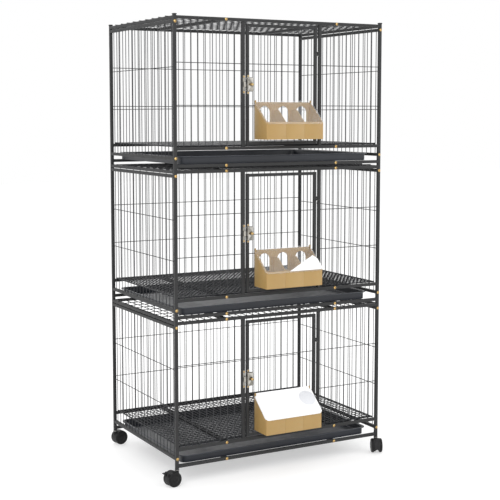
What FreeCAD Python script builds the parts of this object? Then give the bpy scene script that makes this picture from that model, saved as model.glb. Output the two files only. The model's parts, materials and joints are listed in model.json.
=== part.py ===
import FreeCAD, Part
import math
import os
import re

import Sketcher
from FreeCAD import Placement, Rotation, Vector

# Three-tier wire kennel cage on casters. Each tier is a bolted box of welded square-tube panels
# with a hinged front door, a slide latch, a wire floor grate, a pull-out tray and a lidded feeder.
# A tier's pieces are drawn once, with x = 0 at the cage's left face, y = 0 at its front face and
# z = 0 at the bottom of the tier's corner posts, and are then placed once per tier.

os.makedirs("parts", exist_ok=True)
doc = FreeCAD.newDocument("kennel_cage")

DIMENSIONS = [
    ("tube", 10, "outer width of the square frame tube"),
    ("wall", 1, "wall of every tube"),
    ("wire", 2.4, "diameter of the mesh wire"),
    ("hairline", 0.02, "gap left between two wires that cross"),
    ("fit_gap", 0.5, "gap between a removable mesh and the frame"),
    ("cage_width", 768, "outer width, left to right"),
    ("cage_depth", 518, "outer depth, front to back"),
    ("tier_height", 470, "height of one tier's posts"),
    ("base_height", 50, "floor to the bottom of the lowest posts"),
    ("cage_left", -366.645, "left face, from the middle of the whole footprint"),
    ("cage_front", -238.7, "front face, from the middle of the whole footprint"),
    ("tray_rail", 5, "underside of the rails that carry the tray"),
    ("floor_rail", 58, "underside of the rails that carry the floor grate"),
    ("roof_rail", 457, "underside of the top rails"),
    ("side_low", 28.5, "underside of a side panel's bottom rail"),
    ("side_high", 444.5, "underside of a side panel's top rail"),
    ("jamb_left", 236.5, "left side of the left door jamb"),
    ("jamb_right", 520.5, "left side of the right door jamb"),
    ("bar_inset", 180, "left face to the middle of the left cross bar"),
    ("bar_span", 408, "middle to middle of the two cross bars"),
    ("wire_pitch", 25, "pitch of the upright wires in the front and back"),
    ("first_wire", 34.5, "left face to the first upright wire"),
    ("right_wire", 553, "left face to the first wire right of the door"),
    ("front_row_low", 196, "lower level wire of the front and back"),
    ("front_row_high", 326.5, "upper level wire of the front and back"),
    ("side_pitch", 25.6, "pitch of the upright wires in the sides"),
    ("side_first", 25, "front face to the first side wire"),
    ("side_row_low", 185, "lower level wire of a side"),
    ("side_row_high", 313, "upper level wire of a side"),
    ("roof_pitch", 50, "pitch of the roof wires that run left to right"),
    ("rod", 5, "diameter of the rod round the floor grate"),
    ("grate_inset", 15, "side face to the grate's rod"),
    ("grate_front", 11.5, "front face to the grate's rod"),
    ("grate_pitch_x", 15.1, "pitch of the grate wires that run front to back"),
    ("grate_pitch_y", 20, "pitch of the grate wires that run left to right"),
    ("door_left", 252, "left side of the door"),
    ("door_width", 261, "width of the door"),
    ("door_low", 72.5, "underside of the door"),
    ("door_height", 378.5, "height of the door"),
    ("door_tube", 9.5, "outer width of the door's tube"),
    ("door_wire", 281, "left face to the door's first upright wire"),
    ("hinge_x", 516.75, "left face to the door's hinge axis"),
    ("hinge_low", 157, "underside of the lower hinge"),
    ("hinge_high", 357.5, "underside of the upper hinge"),
    ("knuckle", 6.4, "height of one hinge knuckle"),
    ("knuckle_r", 3.4, "radius of a hinge knuckle"),
    ("pin_r", 1.5, "radius of a hinge pin"),
    ("pin_foot_r", 2.4, "radius of the foot a hinge pin stands on"),
    ("pin_foot", 1.2, "height of a hinge pin's foot"),
    ("running", 0.05, "radial clearance of a running fit"),
    ("bolt_r", 2.5, "radius of a frame bolt"),
    ("bolt_hole_r", 2.6, "radius of a bolt's hole"),
    ("head_r", 4.6, "radius of a bolt's head"),
    ("head_height", 3, "height of a bolt's head"),
    ("bolt_reach", 24, "length of a bolt under its head"),
    ("nut_depth", 10, "length of a threaded insert"),
    ("tray_left", 18, "left face to the tray"),
    ("tray_width", 708, "width of the tray over its rim"),
    ("tray_front", 3, "front face to the tray"),
    ("tray_depth", 495, "depth of the tray over its rim"),
    ("tray_low", 15.3, "underside of the tray"),
    ("tray_height", 24.5, "height of the tray"),
    ("tray_rim", 7, "width of the tray's turned-out rim"),
    ("tray_wall", 2.4, "thickness of the tray's sheet"),
    ("tray_corner", 20, "corner radius of the tray"),
    ("feeder_left", 279.7, "left face to the feeder"),
    ("feeder_width", 206.8, "width of the feeder"),
    ("feeder_depth", 79.5, "depth of the feeder"),
    ("feeder_gap", 0.5, "gap between the feeder and the door"),
    ("feeder_low", 90, "underside of the feeder"),
    ("feeder_front", 53, "height of the feeder's front wall"),
    ("feeder_back", 117, "height of the feeder's back wall"),
    ("feeder_wall", 2.5, "wall of the feeder"),
    ("arch_width", 40, "width of an opening in the feeder's back wall"),
    ("arch_low", 48, "feeder's underside to the sill of an opening"),
    ("arch_side", 37, "height of an opening's straight sides"),
    ("divider_top", 92, "feeder's underside to the level top of its dividers"),
    ("hook_width", 5, "width of a hook on the feeder's back"),
    ("hook_drop", 7, "how far a hook reaches down behind the level wire"),
    ("hook_bar", 3, "height of a hook's arm"),
    ("hook_tip", 1.6, "thickness of a hook's tip"),
    ("hook_rest", 0.1, "gap between a hook and the wire it hangs on"),
    ("lid_sheet", 2, "thickness of the feeder's lid"),
    ("lid_over", 2.5, "how far the lid stands past the feeder's sides"),
    ("lid_corner", 12, "radius of the lid's front corners"),
    ("lid_lift", 0.4, "gap between the lid and the feeder's rim"),
    ("lid_nose", 5, "how far the lid stands past the feeder's front wall, with its back wall's thickness"),
    ("lid_axis_y", 4.2, "the lid's hinge axis, in front of the cage's front face"),
    ("lid_axis_z", 209.7, "height of the lid's hinge axis"),
    ("lid_barrel_r", 2.4, "radius of the barrel along the lid's back edge"),
    ("lid_pin_r", 1.4, "radius of the lid's two end pins"),
    ("lid_ear_r", 3.6, "radius of the feeder's two ears round those pins"),
    ("latch_z", 262, "middle of the latch"),
    ("latch_left", 250.5, "left face to the latch case"),
    ("latch_width", 21, "width of the latch case"),
    ("latch_tall", 44, "height of the latch case"),
    ("latch_deep", 10, "depth of the latch case"),
    ("sheet", 1.2, "thickness of the latch's pressed steel"),
    ("latch_travel", 9, "travel of the latch bolt"),
    ("latch_play", 0.4, "gap round the latch bolt in its case"),
    ("plate_long", 18, "length of the latch bolt's flat plate"),
    ("plate_thick", 3.6, "thickness of that plate"),
    ("plate_tall", 12, "height of that plate"),
    ("plate_front", 5.2, "face of that plate, in front of the cage's front face"),
    ("neck_x", 14.5, "latch case's left side to the middle of the bolt's knob"),
    ("neck_r", 2.2, "radius of the neck under the knob"),
    ("knob_r", 4.2, "radius of the knob"),
    ("knob_deep", 4, "thickness of the knob"),
    ("knob_front", 16, "front of the knob, in front of the cage's front face"),
    ("keeper_left", 238, "left face to the keeper plate"),
    ("keeper_width", 7.4, "width of the keeper plate"),
    ("keeper_tall", 58, "height of the keeper plate"),
    ("strap_tall", 18, "height of the keeper's strap"),
    ("strap_reach", 7.4, "how far the strap stands out"),
    ("screw_drop", 24, "middle of the keeper to each of its screws"),
    ("screw_r", 3, "radius of a keeper screw's head"),
    ("wheel_r", 24, "radius of a caster wheel"),
    ("wheel_width", 11, "width of one of a caster's two wheels"),
    ("wheel_inner", 9.5, "middle of a caster to the inner face of a wheel"),
    ("tread_ease", 1, "rounding of a tread's inner edge"),
    ("tread_flat", 5, "width of the level part of a tread"),
    ("shoulder_in", 7.5, "wheel's inner face to the middle of its round shoulder"),
    ("shoulder_drop", 0.8, "how far the shoulder lies inside the tread there"),
    ("rim_in", 8.8, "wheel's inner face to the rim of its outer face"),
    ("rim_drop", 2.5, "how far the rim lies inside the tread"),
    ("dome_in", 9.7, "wheel's inner face to the domed outer face"),
    ("dome_drop", 6, "how far the dome's foot lies inside the tread"),
    ("hub_r", 8, "radius of the level middle of a wheel's outer face"),
    ("trail", 17, "a caster's swivel axis to its axle"),
    ("axle_r", 3, "radius of an axle and of a caster's spindle"),
    ("hood_r", 24.4, "radius of the hood between a caster's wheels"),
    ("hood_half", 9, "half the width of that hood"),
    ("hood_low", 7, "floor to the lower edge of the hood"),
    ("tunnel_r", 6, "radius of the arch under the hood"),
    ("boss_r", 6.5, "radius of a caster's swivel boss"),
    ("boss_tall", 16.5, "height of the swivel boss"),
    ("boss_top", 46.5, "floor to the top of the swivel boss"),
    ("spindle_low", 36, "floor to the lower end of the spindle"),
    ("flange_low", 47, "floor to the underside of the stem's flange"),
    ("stem_plug", 25, "length of the stem's plug inside the post"),
    ("lug_x", 34.5, "swivel axis to the brake lugs"),
    ("lug_long", 6, "length of a brake lug"),
    ("lug_thick", 2, "thickness of a brake lug"),
    ("lug_low", 34, "floor to the underside of the brake lugs"),
    ("lug_tall", 15, "height of a brake lug"),
    ("pedal_x", 35.5, "swivel axis to the brake pedal"),
    ("pedal_long", 17.5, "length of the brake pedal"),
    ("pedal_wide", 10, "width of the brake pedal"),
    ("pedal_thick", 3, "thickness of the brake pedal"),
    ("pedal_play", 0.4, "gap between the pedal and a lug"),
    ("pedal_pin_x", 37, "swivel axis to the brake pedal's pin"),
    ("pedal_pin_z", 46, "floor to the brake pedal's pin"),
    ("pedal_pin_r", 1, "radius of the brake pedal's pin"),
    ("cap_width", 12.4, "width of a post cap"),
    ("cap_height", 3, "height of a post cap"),
    ("cap_round", 1.2, "rounding of a cap's upper edges"),
    ("cap_plug", 12, "length of the cap's plug inside the post"),
    ("slip", 0.1, "gap round a plug or dowel inside a post"),
    ("dowel", 40, "length of the dowel between two stacked posts"),
    ("dowel_down", 16, "how far the dowel reaches into the lower post"),
    ("insert_deep", 4, "end of a tube to the threaded insert in it"),
]

sheet = doc.addObject("Spreadsheet::Sheet", "dims")
for row, (alias, value, meaning) in enumerate(DIMENSIONS, start=1):
    sheet.set(f"A{row}", alias)
    sheet.set(f"B{row}", str(value))
    sheet.set(f"C{row}", meaning)
    sheet.setAlias(f"B{row}", alias)
doc.recompute()

# The same cells as plain numbers, for shapes that are made with Part's own functions.
mm = {alias: float(sheet.get(alias)) for alias, _, _ in DIMENSIONS}

X_AXIS = Vector(1, 0, 0)
Y_AXIS = Vector(0, 1, 0)
Z_AXIS = Vector(0, 0, 1)
TIERS = ("lower", "middle", "upper")
nodes = []


# ---------------------------------------------------------------- helpers

def qualified(text):
    """An expression written with bare sheet aliases, as FreeCAD wants it."""
    return re.sub(r"[a-z_]+", lambda m: "dims." + m.group() if m.group() in mm else m.group(), str(text))


def evaluate(text):
    """The value of an expression of sheet aliases, in millimetres."""
    return float(sheet.evalExpression(qualified(text)))


def bind(obj, prop, text):
    obj.setExpression(prop, qualified(text))


def put(obj, at):
    for axis, text in zip("xyz", at):
        bind(obj, f"Placement.Base.{axis}", text)
    return obj


def box(name, size, at, kind="Part::Box", owner=None):
    obj = (owner.newObject if owner else doc.addObject)(kind, name)
    for prop, text in zip(("Length", "Width", "Height"), size):
        bind(obj, prop, text)
    return put(obj, at)


def cylinder(name, radius, height, at, along="z", kind="Part::Cylinder", owner=None):
    obj = (owner.newObject if owner else doc.addObject)(kind, name)
    turn = {"z": Rotation(), "x": Rotation(Y_AXIS, 90), "y": Rotation(X_AXIS, -90)}[along]
    obj.Placement = Placement(Vector(), turn)
    bind(obj, "Radius", radius)
    bind(obj, "Height", height)
    return put(obj, at)


def fuse(name, members):
    obj = doc.addObject("Part::MultiFuse", name)
    obj.Shapes = members
    return obj


def cut(name, base, tool):
    obj = doc.addObject("Part::Cut", name)
    obj.Base = base
    obj.Tool = tool
    return obj


def body_of(name):
    return doc.addObject("PartDesign::Body", name)


def plane_of(body, role):
    return next(f for f in body.Origin.OriginFeatures if f.Role == role)


def sketch_on(body, name, role, height=0):
    sk = body.newObject("Sketcher::SketchObject", name)
    sk.AttachmentSupport = [(plane_of(body, role), "")]
    sk.MapMode = "FlatFace"
    bind(sk, "AttachmentOffset.Base.z", height)
    return sk


def outline(body, name, role, points, height=0):
    """A closed outline of straight sides, each corner held by two dimensions bound to the sheet."""
    sk = sketch_on(body, name, role, height)
    rough = [Vector(*(evaluate(t) for t in p), 0) for p in points]
    count = len(rough)
    for i in range(count):
        sk.addGeometry(Part.LineSegment(rough[i], rough[(i + 1) % count]), False)
    for i in range(count):
        sk.addConstraint(Sketcher.Constraint("Coincident", i, 2, (i + 1) % count, 1))
    for i, point in enumerate(points):
        for axis, kind, text in zip("xy", ("DistanceX", "DistanceY"), point):
            held = sk.addConstraint(Sketcher.Constraint(kind, -1, 1, i, 1, evaluate(text)))
            sk.renameConstraint(held, f"corner{i}{axis}")
            bind(sk, f"Constraints.corner{i}{axis}", text)
    return sk


def pad(body, sk, length, taper=0, reverse=False):
    feature = body.newObject("PartDesign::Pad", sk.Name + "_pad")
    feature.Profile = sk
    bind(feature, "Length", length)
    feature.TaperAngle = taper
    feature.Reversed = reverse
    return feature


def fillet(body, base, radius, chosen):
    """Rounds the edges of a feature that chosen picks."""
    doc.recompute()
    names = [f"Edge{i}" for i, e in enumerate(base.Shape.Edges, start=1) if chosen(e)]
    feature = body.newObject("PartDesign::Fillet", base.Name + "_round")
    feature.Base = (base, names)
    bind(feature, "Radius", radius)
    doc.recompute()
    return feature


def upright(edge):
    a, b = edge.Vertexes[0].Point, edge.Vertexes[-1].Point
    return abs(b.z - a.z) > 0.5 * edge.Length


def tube(name, axis, length, at, width="tube", holes=()):
    """A square hollow tube from its low corner, with bolt holes along y at the (x, z) of holes."""
    inside = f"{width} - 2 * wall"
    size = {axis: length}
    hollow = {axis: f"{length} + 2 * wall"}
    start = dict(zip("xyz", at))
    outer = box(name + "_skin", [size.get(a, width) for a in "xyz"], at)
    inner = box(
        name + "_hollow",
        [hollow.get(a, inside) for a in "xyz"],
        [f"{start[a]} - wall" if a == axis else f"{start[a]} + wall" for a in "xyz"],
    )
    tools = [inner]
    for i, (x, z) in enumerate(holes):
        drill = f"{start['y']} - wall"
        tools.append(cylinder(f"{name}_hole{i}", "bolt_hole_r", f"{width} + 2 * wall", (x, drill, z), "y"))
    tool = tools[0] if len(tools) == 1 else fuse(name + "_voids", tools)
    return cut(name, outer, tool)


def feature_of(name, shapes):
    obj = doc.addObject("Part::Feature", name)
    obj.Shape = Part.makeCompound(shapes)
    return obj


def wires(name, runs, diameter="wire"):
    """Rows of straight round wires: each run is a first point, a direction, a length, a step and a count."""
    shapes = []
    for start, along, length, step, count in runs:
        for i in range(count):
            shapes.append(Part.makeCylinder(mm[diameter] / 2, length, start + step * i, along))
    return feature_of(name, shapes)


def placed(label, members, at, turn=0):
    """A node made of the given solids, turned about z and moved to its place."""
    node = doc.addObject("Part::Compound", label)
    node.Label = label
    node.Links = members
    node.Placement = Placement(Vector(), Rotation(Z_AXIS, turn))
    put(node, at)
    nodes.append(node)


def tier_part(piece, members):
    """One node per tier, made of the given solids at that tier's height."""
    for level, tier in enumerate(TIERS):
        height = f"base_height + {level} * tier_height"
        placed(f"{tier}_{piece}", members, ("cage_left", "cage_front", height))


def shared_part(name, shapes):
    """One node for like small pieces all over the cage, drawn in the lowest tier's coordinates."""
    node = feature_of(name, shapes)
    node.Label = name
    put(node, ("cage_left", "cage_front", "base_height"))
    nodes.append(node)


# ---------------------------------------------------------------- welded panels

half = mm["tube"] / 2
level_gap = mm["wire"] + mm["hairline"]
frame_top = mm["floor_rail"] + mm["tube"]
upright_wire = mm["roof_rail"] - frame_top
bar_x = ("bar_inset", "bar_inset + bar_span")
rail_levels = ("tray_rail", "floor_rail", "roof_rail")
side_levels = ("side_low", "side_high")


def upright_frame(name, y):
    """Two posts and three rails: the part of the frame that the front and the back share."""
    posts = []
    for side, x in (("left", "0"), ("right", "cage_width - tube")):
        holes = [(f"{x} + tube / 2", f"{z} + tube / 2") for z in side_levels]
        posts.append(tube(f"{name}_{side}_post", "z", "tier_height", (x, y, "0"), holes=holes))
    rails = []
    for z in rail_levels:
        holes = [(x, f"{z} + tube / 2") for x in bar_x]
        rails.append(tube(f"{name}_{z}", "x", "cage_width - 2 * tube", ("tube", y, z), holes=holes))
    return posts + rails


def level_wires(y, left, right):
    rows = (mm["front_row_low"], mm["front_row_high"])
    return [(Vector(left, y, z), X_AXIS, right - left, Vector(), 1) for z in rows]


def front_panel():
    jamb = "roof_rail - floor_rail - tube"
    low = "floor_rail + tube"
    jambs = [tube(f"front_{x}", "z", jamb, (x, "0", low)) for x in ("jamb_left", "jamb_right")]
    step = Vector(mm["wire_pitch"], 0, 0)
    rows = [
        (Vector(mm[first], half, frame_top), Z_AXIS, upright_wire, step, 8)
        for first in ("first_wire", "right_wire")
    ]
    rows += level_wires(half + level_gap, mm["tube"], mm["jamb_left"])
    rows += level_wires(half + level_gap, mm["jamb_right"] + mm["tube"], mm["cage_width"] - mm["tube"])
    tier_part("front_panel", upright_frame("front", "0") + jambs + [wires("front_wires", rows)])


def back_panel():
    y = mm["cage_depth"] - half
    step = Vector(mm["wire_pitch"], 0, 0)
    rows = [(Vector(mm["first_wire"], y, frame_top), Z_AXIS, upright_wire, step, 29)]
    rows += level_wires(y - level_gap, mm["tube"], mm["cage_width"] - mm["tube"])
    tier_part("back_panel", upright_frame("back", "cage_depth - tube") + [wires("back_wires", rows)])


def side_panel(side, x, inward):
    """Two rails bolted between the posts, and the wires welded between them."""
    span = "cage_depth - 2 * tube"
    rails = [tube(f"{side}_{z}", "y", span, (x, "tube", z)) for z in side_levels]
    middle = evaluate(x) + half
    low = mm["side_low"] + mm["tube"]
    step = Vector(0, mm["side_pitch"], 0)
    rows = [(Vector(middle, mm["side_first"], low), Z_AXIS, mm["side_high"] - low, step, 19)]
    start = mm["tube"] + mm["fit_gap"]
    length = mm["cage_depth"] - 2 * start
    for z in (mm["side_row_low"], mm["side_row_high"]):
        rows.append((Vector(middle + inward * level_gap, start, z), Y_AXIS, length, Vector(), 1))
    tier_part(f"{side}_panel", rails + [wires(f"{side}_wires", rows)])


def roof_panel():
    """Two side rails with a wire mesh across them, over the cross bars."""
    span = "cage_depth - 2 * tube"
    rails = [
        tube(f"roof_{side}", "y", span, (x, "tube", "roof_rail"))
        for side, x in (("left", "0"), ("right", "cage_width - tube"))
    ]
    over = mm["roof_rail"] + mm["tube"] + mm["hairline"] + mm["wire"] / 2
    inset = mm["tube"] + mm["fit_gap"]
    first_row = (mm["cage_depth"] - 8 * mm["roof_pitch"]) / 2
    across = mm["cage_width"] - 2 * mm["fit_gap"]
    rows = [(Vector(mm["fit_gap"], first_row, over), X_AXIS, across, Vector(0, mm["roof_pitch"], 0), 9)]
    bars = [evaluate(x) for x in bar_x]
    for i in range(29):
        x = mm["first_wire"] + i * mm["wire_pitch"]
        if min(abs(x - bar) for bar in bars) > half + mm["wire"]:
            at = Vector(x, inset, over - level_gap)
            rows.append((at, Y_AXIS, mm["cage_depth"] - 2 * inset, Vector(), 1))
    tier_part("roof_panel", rails + [wires("roof_wires", rows)])


def floor_grate():
    """A lift-out mesh inside a rod border, resting on the cross bars."""
    rod, wire = mm["rod"], mm["wire"]
    low = frame_top + mm["hairline"]
    left = mm["grate_inset"] + rod / 2
    right = mm["cage_width"] - left
    front = mm["grate_front"] + rod / 2
    back = mm["cage_depth"] - front
    inner_left = left + rod / 2 + mm["hairline"]
    inner_front = front + rod / 2 + mm["hairline"]
    axis_z = low + rod / 2
    over_corners = back - front + rod
    side_rods = (Vector(left, front - rod / 2, axis_z), Y_AXIS, over_corners, Vector(right - left, 0, 0), 2)
    between = mm["cage_width"] - 2 * inner_left
    end_rods = (Vector(inner_left, front, axis_z), X_AXIS, between, Vector(0, back - front, 0), 2)
    border = wires("grate_border", [side_rods, end_rods], "rod")
    count_x = int((right - left - rod) / mm["grate_pitch_x"])
    count_y = int((back - front - rod) / mm["grate_pitch_y"])
    first_x = (mm["cage_width"] - (count_x - 1) * mm["grate_pitch_x"]) / 2
    first_y = (mm["cage_depth"] - (count_y - 1) * mm["grate_pitch_y"]) / 2
    under = Vector(inner_left, first_y, low + wire / 2)
    upper = Vector(first_x, inner_front, low + wire / 2 + level_gap)
    long = mm["cage_depth"] - 2 * inner_front
    mesh = wires("grate_wires", [
        (under, X_AXIS, between, Vector(0, mm["grate_pitch_y"], 0), count_y),
        (upper, Y_AXIS, long, Vector(mm["grate_pitch_x"], 0, 0), count_x),
    ])
    tier_part("floor_grate", [border, mesh])


def cross_bars():
    """Two bars front to back under the tray, under the grate and under the roof mesh."""
    bars = []
    for z in rail_levels:
        for i, x in enumerate(bar_x):
            at = (f"{x} - tube / 2", "tube", z)
            bars.append(tube(f"bar_{z}_{i}", "y", "cage_depth - 2 * tube", at))
    tier_part("cross_bars", bars)


# ---------------------------------------------------------------- door, hinges and latch

hinge_levels = ("hinge_low", "hinge_high")


def knuckle(name, z, leaf_x, leaf_width):
    """A hinge knuckle with the short leaf that welds it to a tube, bored for its pin."""
    height = "knuckle"
    barrel = cylinder(name + "_barrel", "knuckle_r", height, ("hinge_x", "0", z))
    leaf = box(name + "_leaf", (leaf_width, "knuckle_r", height), (leaf_x, "0", z))
    below = ("hinge_x", "0", f"{z} - wall")
    bore = cylinder(name + "_bore", "pin_r + running", f"{height} + 2 * wall", below)
    return cut(name, fuse(name + "_solid", [barrel, leaf]), bore)


def door():
    t = "door_tube"
    right = "door_left + door_width - door_tube"
    stiles = [
        tube(f"door_{side}", "z", "door_height", (x, "0", "door_low"), t)
        for side, x in (("left", "door_left"), ("right", right))
    ]
    rails = [
        tube(f"door_{side}", "x", "door_width - 2 * door_tube", ("door_left + door_tube", "0", z), t)
        for side, z in (("bottom", "door_low"), ("top", "door_low + door_height - door_tube"))
    ]
    low = mm["door_low"] + mm["door_tube"]
    tall = mm["door_height"] - 2 * mm["door_tube"]
    middle = mm["door_tube"] / 2
    rows = [(Vector(mm["door_wire"], middle, low), Z_AXIS, tall, Vector(mm["wire_pitch"], 0, 0), 9)]
    left = mm["door_left"] + mm["door_tube"]
    rows += level_wires(middle + level_gap, left, left + mm["door_width"] - 2 * mm["door_tube"])
    leaf_x = "door_left + door_width"
    leaves = [
        knuckle(f"door_knuckle_{z}", f"{z} + knuckle + 4 * running", leaf_x, f"hinge_x - ({leaf_x})")
        for z in hinge_levels
    ]
    tier_part("door", stiles + rails + [wires("door_wires", rows)] + leaves)


def hinge_fixings():
    """The knuckles on the right jambs and the pins that stand up through both knuckles."""
    shapes, pins = [], []
    barrel_r, tall = mm["knuckle_r"], mm["knuckle"]
    for level in range(len(TIERS)):
        for z_name in hinge_levels:
            at = Vector(mm["hinge_x"], 0, mm[z_name] + level * mm["tier_height"])
            barrel = Part.makeCylinder(barrel_r, tall, at)
            leaf = Part.makeBox(mm["jamb_right"] - mm["hinge_x"], barrel_r, tall, at)
            bore = Part.makeCylinder(mm["pin_r"] + mm["running"], tall + 2, at - Z_AXIS)
            shapes.append(barrel.fuse(leaf).removeSplitter().cut(bore))
            start = at - Z_AXIS * (mm["pin_foot"] + 4 * mm["running"])
            foot = Part.makeCylinder(mm["pin_foot_r"], mm["pin_foot"], start)
            shaft = Part.makeCylinder(mm["pin_r"], 2 * (tall + mm["pin_foot"]), start)
            pins.append(foot.fuse(shaft).removeSplitter())
    shared_part("jamb_knuckles", shapes)
    shared_part("hinge_pins", pins)


def latch():
    """A pressed case on the door, with a flat bolt that slides left behind the keeper's strap."""
    case = body_of("case_body")
    low = "latch_z - latch_tall / 2"
    box("case_block", ("latch_width", "latch_deep", "latch_tall"), ("latch_left", "-latch_deep", low),
        "PartDesign::AdditiveBox", case)
    inner = ("latch_width - 2 * sheet", "latch_deep - sheet + wall", "latch_tall - 2 * sheet")
    box("case_hollow", inner, ("latch_left + sheet", "sheet - latch_deep", f"{low} + sheet"),
        "PartDesign::SubtractiveBox", case)
    mouth = ("4 * sheet", "plate_thick + 2 * latch_play", "plate_tall + 2 * latch_play")
    box("case_mouth", mouth,
        ("latch_left - sheet", "-plate_front - latch_play", "latch_z - plate_tall / 2 - latch_play"),
        "PartDesign::SubtractiveBox", case)
    slot = ("latch_travel + 2 * (neck_r + latch_play)", "4 * sheet", "2 * (neck_r + latch_play)")
    case.Tip = box("case_slot", slot,
                   ("latch_left + neck_x - latch_travel - neck_r - latch_play", "-latch_deep - sheet",
                    "latch_z - neck_r - latch_play"),
                   "PartDesign::SubtractiveBox", case)
    tier_part("latch_case", [case])

    bolt = body_of("bolt_body")
    box("bolt_plate", ("plate_long", "plate_thick", "plate_tall"),
        ("latch_left", "-plate_front", "latch_z - plate_tall / 2"), "PartDesign::AdditiveBox", bolt)
    cylinder("bolt_neck", "neck_r", "knob_front - knob_deep - plate_front + 2 * sheet",
             ("latch_left + neck_x", "knob_deep - knob_front - sheet", "latch_z"), "y",
             "PartDesign::AdditiveCylinder", bolt)
    bolt.Tip = cylinder("bolt_knob", "knob_r", "knob_deep",
                        ("latch_left + neck_x", "-knob_front", "latch_z"), "y",
                        "PartDesign::AdditiveCylinder", bolt)
    tier_part("latch_bolt", [bolt])


def keepers():
    """A plate on each left jamb with a strap that the latch bolt slides behind, and its two screws."""
    plates, screws = [], []
    x, width, thick = mm["keeper_left"], mm["keeper_width"], mm["sheet"]
    tall, loop, reach = mm["keeper_tall"], mm["strap_tall"], mm["strap_reach"]
    for level in range(len(TIERS)):
        z = mm["latch_z"] + level * mm["tier_height"]
        plate = Part.makeBox(width, thick, tall, Vector(x, -thick, z - tall / 2))
        strap = Part.makeBox(width, reach, loop, Vector(x, -reach, z - loop / 2))
        inside = Vector(x - thick, thick - reach, z - loop / 2 + thick)
        gap = Part.makeBox(width + 2 * thick, reach - thick, loop - 2 * thick, inside)
        plates.append(plate.fuse(strap.cut(gap)).removeSplitter())
        for drop in (-mm["screw_drop"], mm["screw_drop"]):
            head = Part.makeSphere(mm["screw_r"], Vector(), Z_AXIS, 0, 90, 360)
            head.Placement = Placement(Vector(x + width / 2, -thick, z + drop), Rotation(X_AXIS, 90))
            screws.append(head)
    shared_part("latch_keepers", plates)
    shared_part("keeper_screws", screws)


# ---------------------------------------------------------------- tray

TRAY_SLOPE = 8


def pan(name, inset, corner, low):
    """A solid block with rounded corners whose sides lean outwards from the given inset at its foot."""
    body = body_of(name)
    w, d = f"tray_width - {inset}", f"tray_depth - {inset}"
    foot = outline(body, name + "_outline", "XY_Plane", [(inset, inset), (w, inset), (w, d), (inset, d)], low)
    block = pad(body, foot, "tray_height - tray_wall", TRAY_SLOPE)
    body.Tip = fillet(body, block, corner, upright)
    return body


def tray():
    """A thermoformed pan with sloping walls, rounded corners and a turned-out rim."""
    lean = f"(tray_height - tray_wall) * {round(math.tan(math.radians(TRAY_SLOPE)), 4)}"
    inset = f"(tray_rim + {lean})"
    outside = pan("pan_outside", inset, "tray_corner", "0")
    inside = pan("pan_inside", f"({inset} + tray_wall)", "tray_corner - tray_wall", "tray_wall")
    plate = body_of("rim_plate")
    flat = box("rim_block", ("tray_width", "tray_depth", "tray_wall"), ("0", "0", "tray_height - tray_wall"),
               "PartDesign::AdditiveBox", plate)
    plate.Tip = fillet(plate, flat, "tray_corner + tray_rim", upright)
    shell = cut("tray_shell", fuse("tray_solid", [outside, plate]), inside)
    put(shell, ("tray_left", "tray_front", "tray_low"))
    tier_part("tray", [shell])


# ---------------------------------------------------------------- feeder and lid

def feeder_box():
    """A three-bay trough with a sloping top, openings towards the door and hooks over its level wire."""
    body = body_of("feeder_body")
    depth, wall_ = "feeder_depth", "feeder_wall"
    profile = [("0", "0"), (depth, "0"), (depth, "feeder_back"), (f"{depth} - {wall_}", "feeder_back"),
               ("0", "feeder_front")]
    pad(body, outline(body, "feeder_profile", "YZ_Plane", profile), "feeder_width")
    bay = "(feeder_width - 4 * feeder_wall) / 3"
    for i in range(3):
        left = f"feeder_wall + {i} * ({bay} + feeder_wall)"
        box(f"bay{i}", (bay, f"{depth} - 2 * {wall_}", "feeder_back"), (left, wall_, wall_),
            "PartDesign::SubtractiveBox", body)
        sill = ("arch_width", "3 * feeder_wall", "arch_side")
        middle = f"{left} + {bay} / 2"
        box(f"arch{i}", sill, (f"{middle} - arch_width / 2", f"{depth} - 2 * {wall_}", "arch_low"),
            "PartDesign::SubtractiveBox", body)
        cylinder(f"arch_top{i}", "arch_width / 2", "3 * feeder_wall",
                 (middle, f"{depth} - 2 * {wall_}", "arch_low + arch_side"), "y",
                 "PartDesign::SubtractiveCylinder", body)
    box("divider_trim", ("feeder_width - 2 * feeder_wall", f"{depth} - 2 * {wall_}", "feeder_back"),
        (wall_, wall_, "divider_top"), "PartDesign::SubtractiveBox", body)
    over_wire = "front_row_low + wire / 2 + hook_rest - feeder_low"
    reach = "feeder_gap + door_tube / 2 + 1.5 * wire + 2 * wall"
    for i, middle in enumerate(("door_wire + wire_pitch / 2", "door_wire + 7.5 * wire_pitch")):
        x = f"{middle} - hook_width / 2 - feeder_left"
        box(f"hook_arm{i}", ("hook_width", f"{reach} + wall", "hook_bar"), (x, f"{depth} - wall", over_wire),
            "PartDesign::AdditiveBox", body)
        box(f"hook_tip{i}", ("hook_width", "hook_tip", "hook_bar + hook_drop"),
            (x, f"{depth} + {reach} - hook_tip", f"{over_wire} - hook_drop"), "PartDesign::AdditiveBox", body)
    ear_y = "feeder_depth + feeder_gap - lid_axis_y"
    ear_z = "lid_axis_z - feeder_low"
    for side, x in (("left", "0"), ("right", f"feeder_width - {wall_}")):
        box(f"ear_foot_{side}", (wall_, "2 * lid_ear_r", "2 * lid_ear_r"),
            (x, f"{ear_y} - lid_ear_r", f"{ear_z} - 2 * lid_ear_r"), "PartDesign::AdditiveBox", body)
        cylinder(f"ear_{side}", "lid_ear_r", wall_, (x, ear_y, ear_z), "x",
                 "PartDesign::AdditiveCylinder", body)
        last = cylinder(f"ear_bore_{side}", "lid_pin_r + running", f"{wall_} + 2 * wall",
                        (f"{x} - wall", ear_y, ear_z), "x", "PartDesign::SubtractiveCylinder", body)
    body.Tip = last
    put(body, ("feeder_left", "-feeder_depth - feeder_gap", "feeder_low"))
    tier_part("feeder_box", [body])


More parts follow.
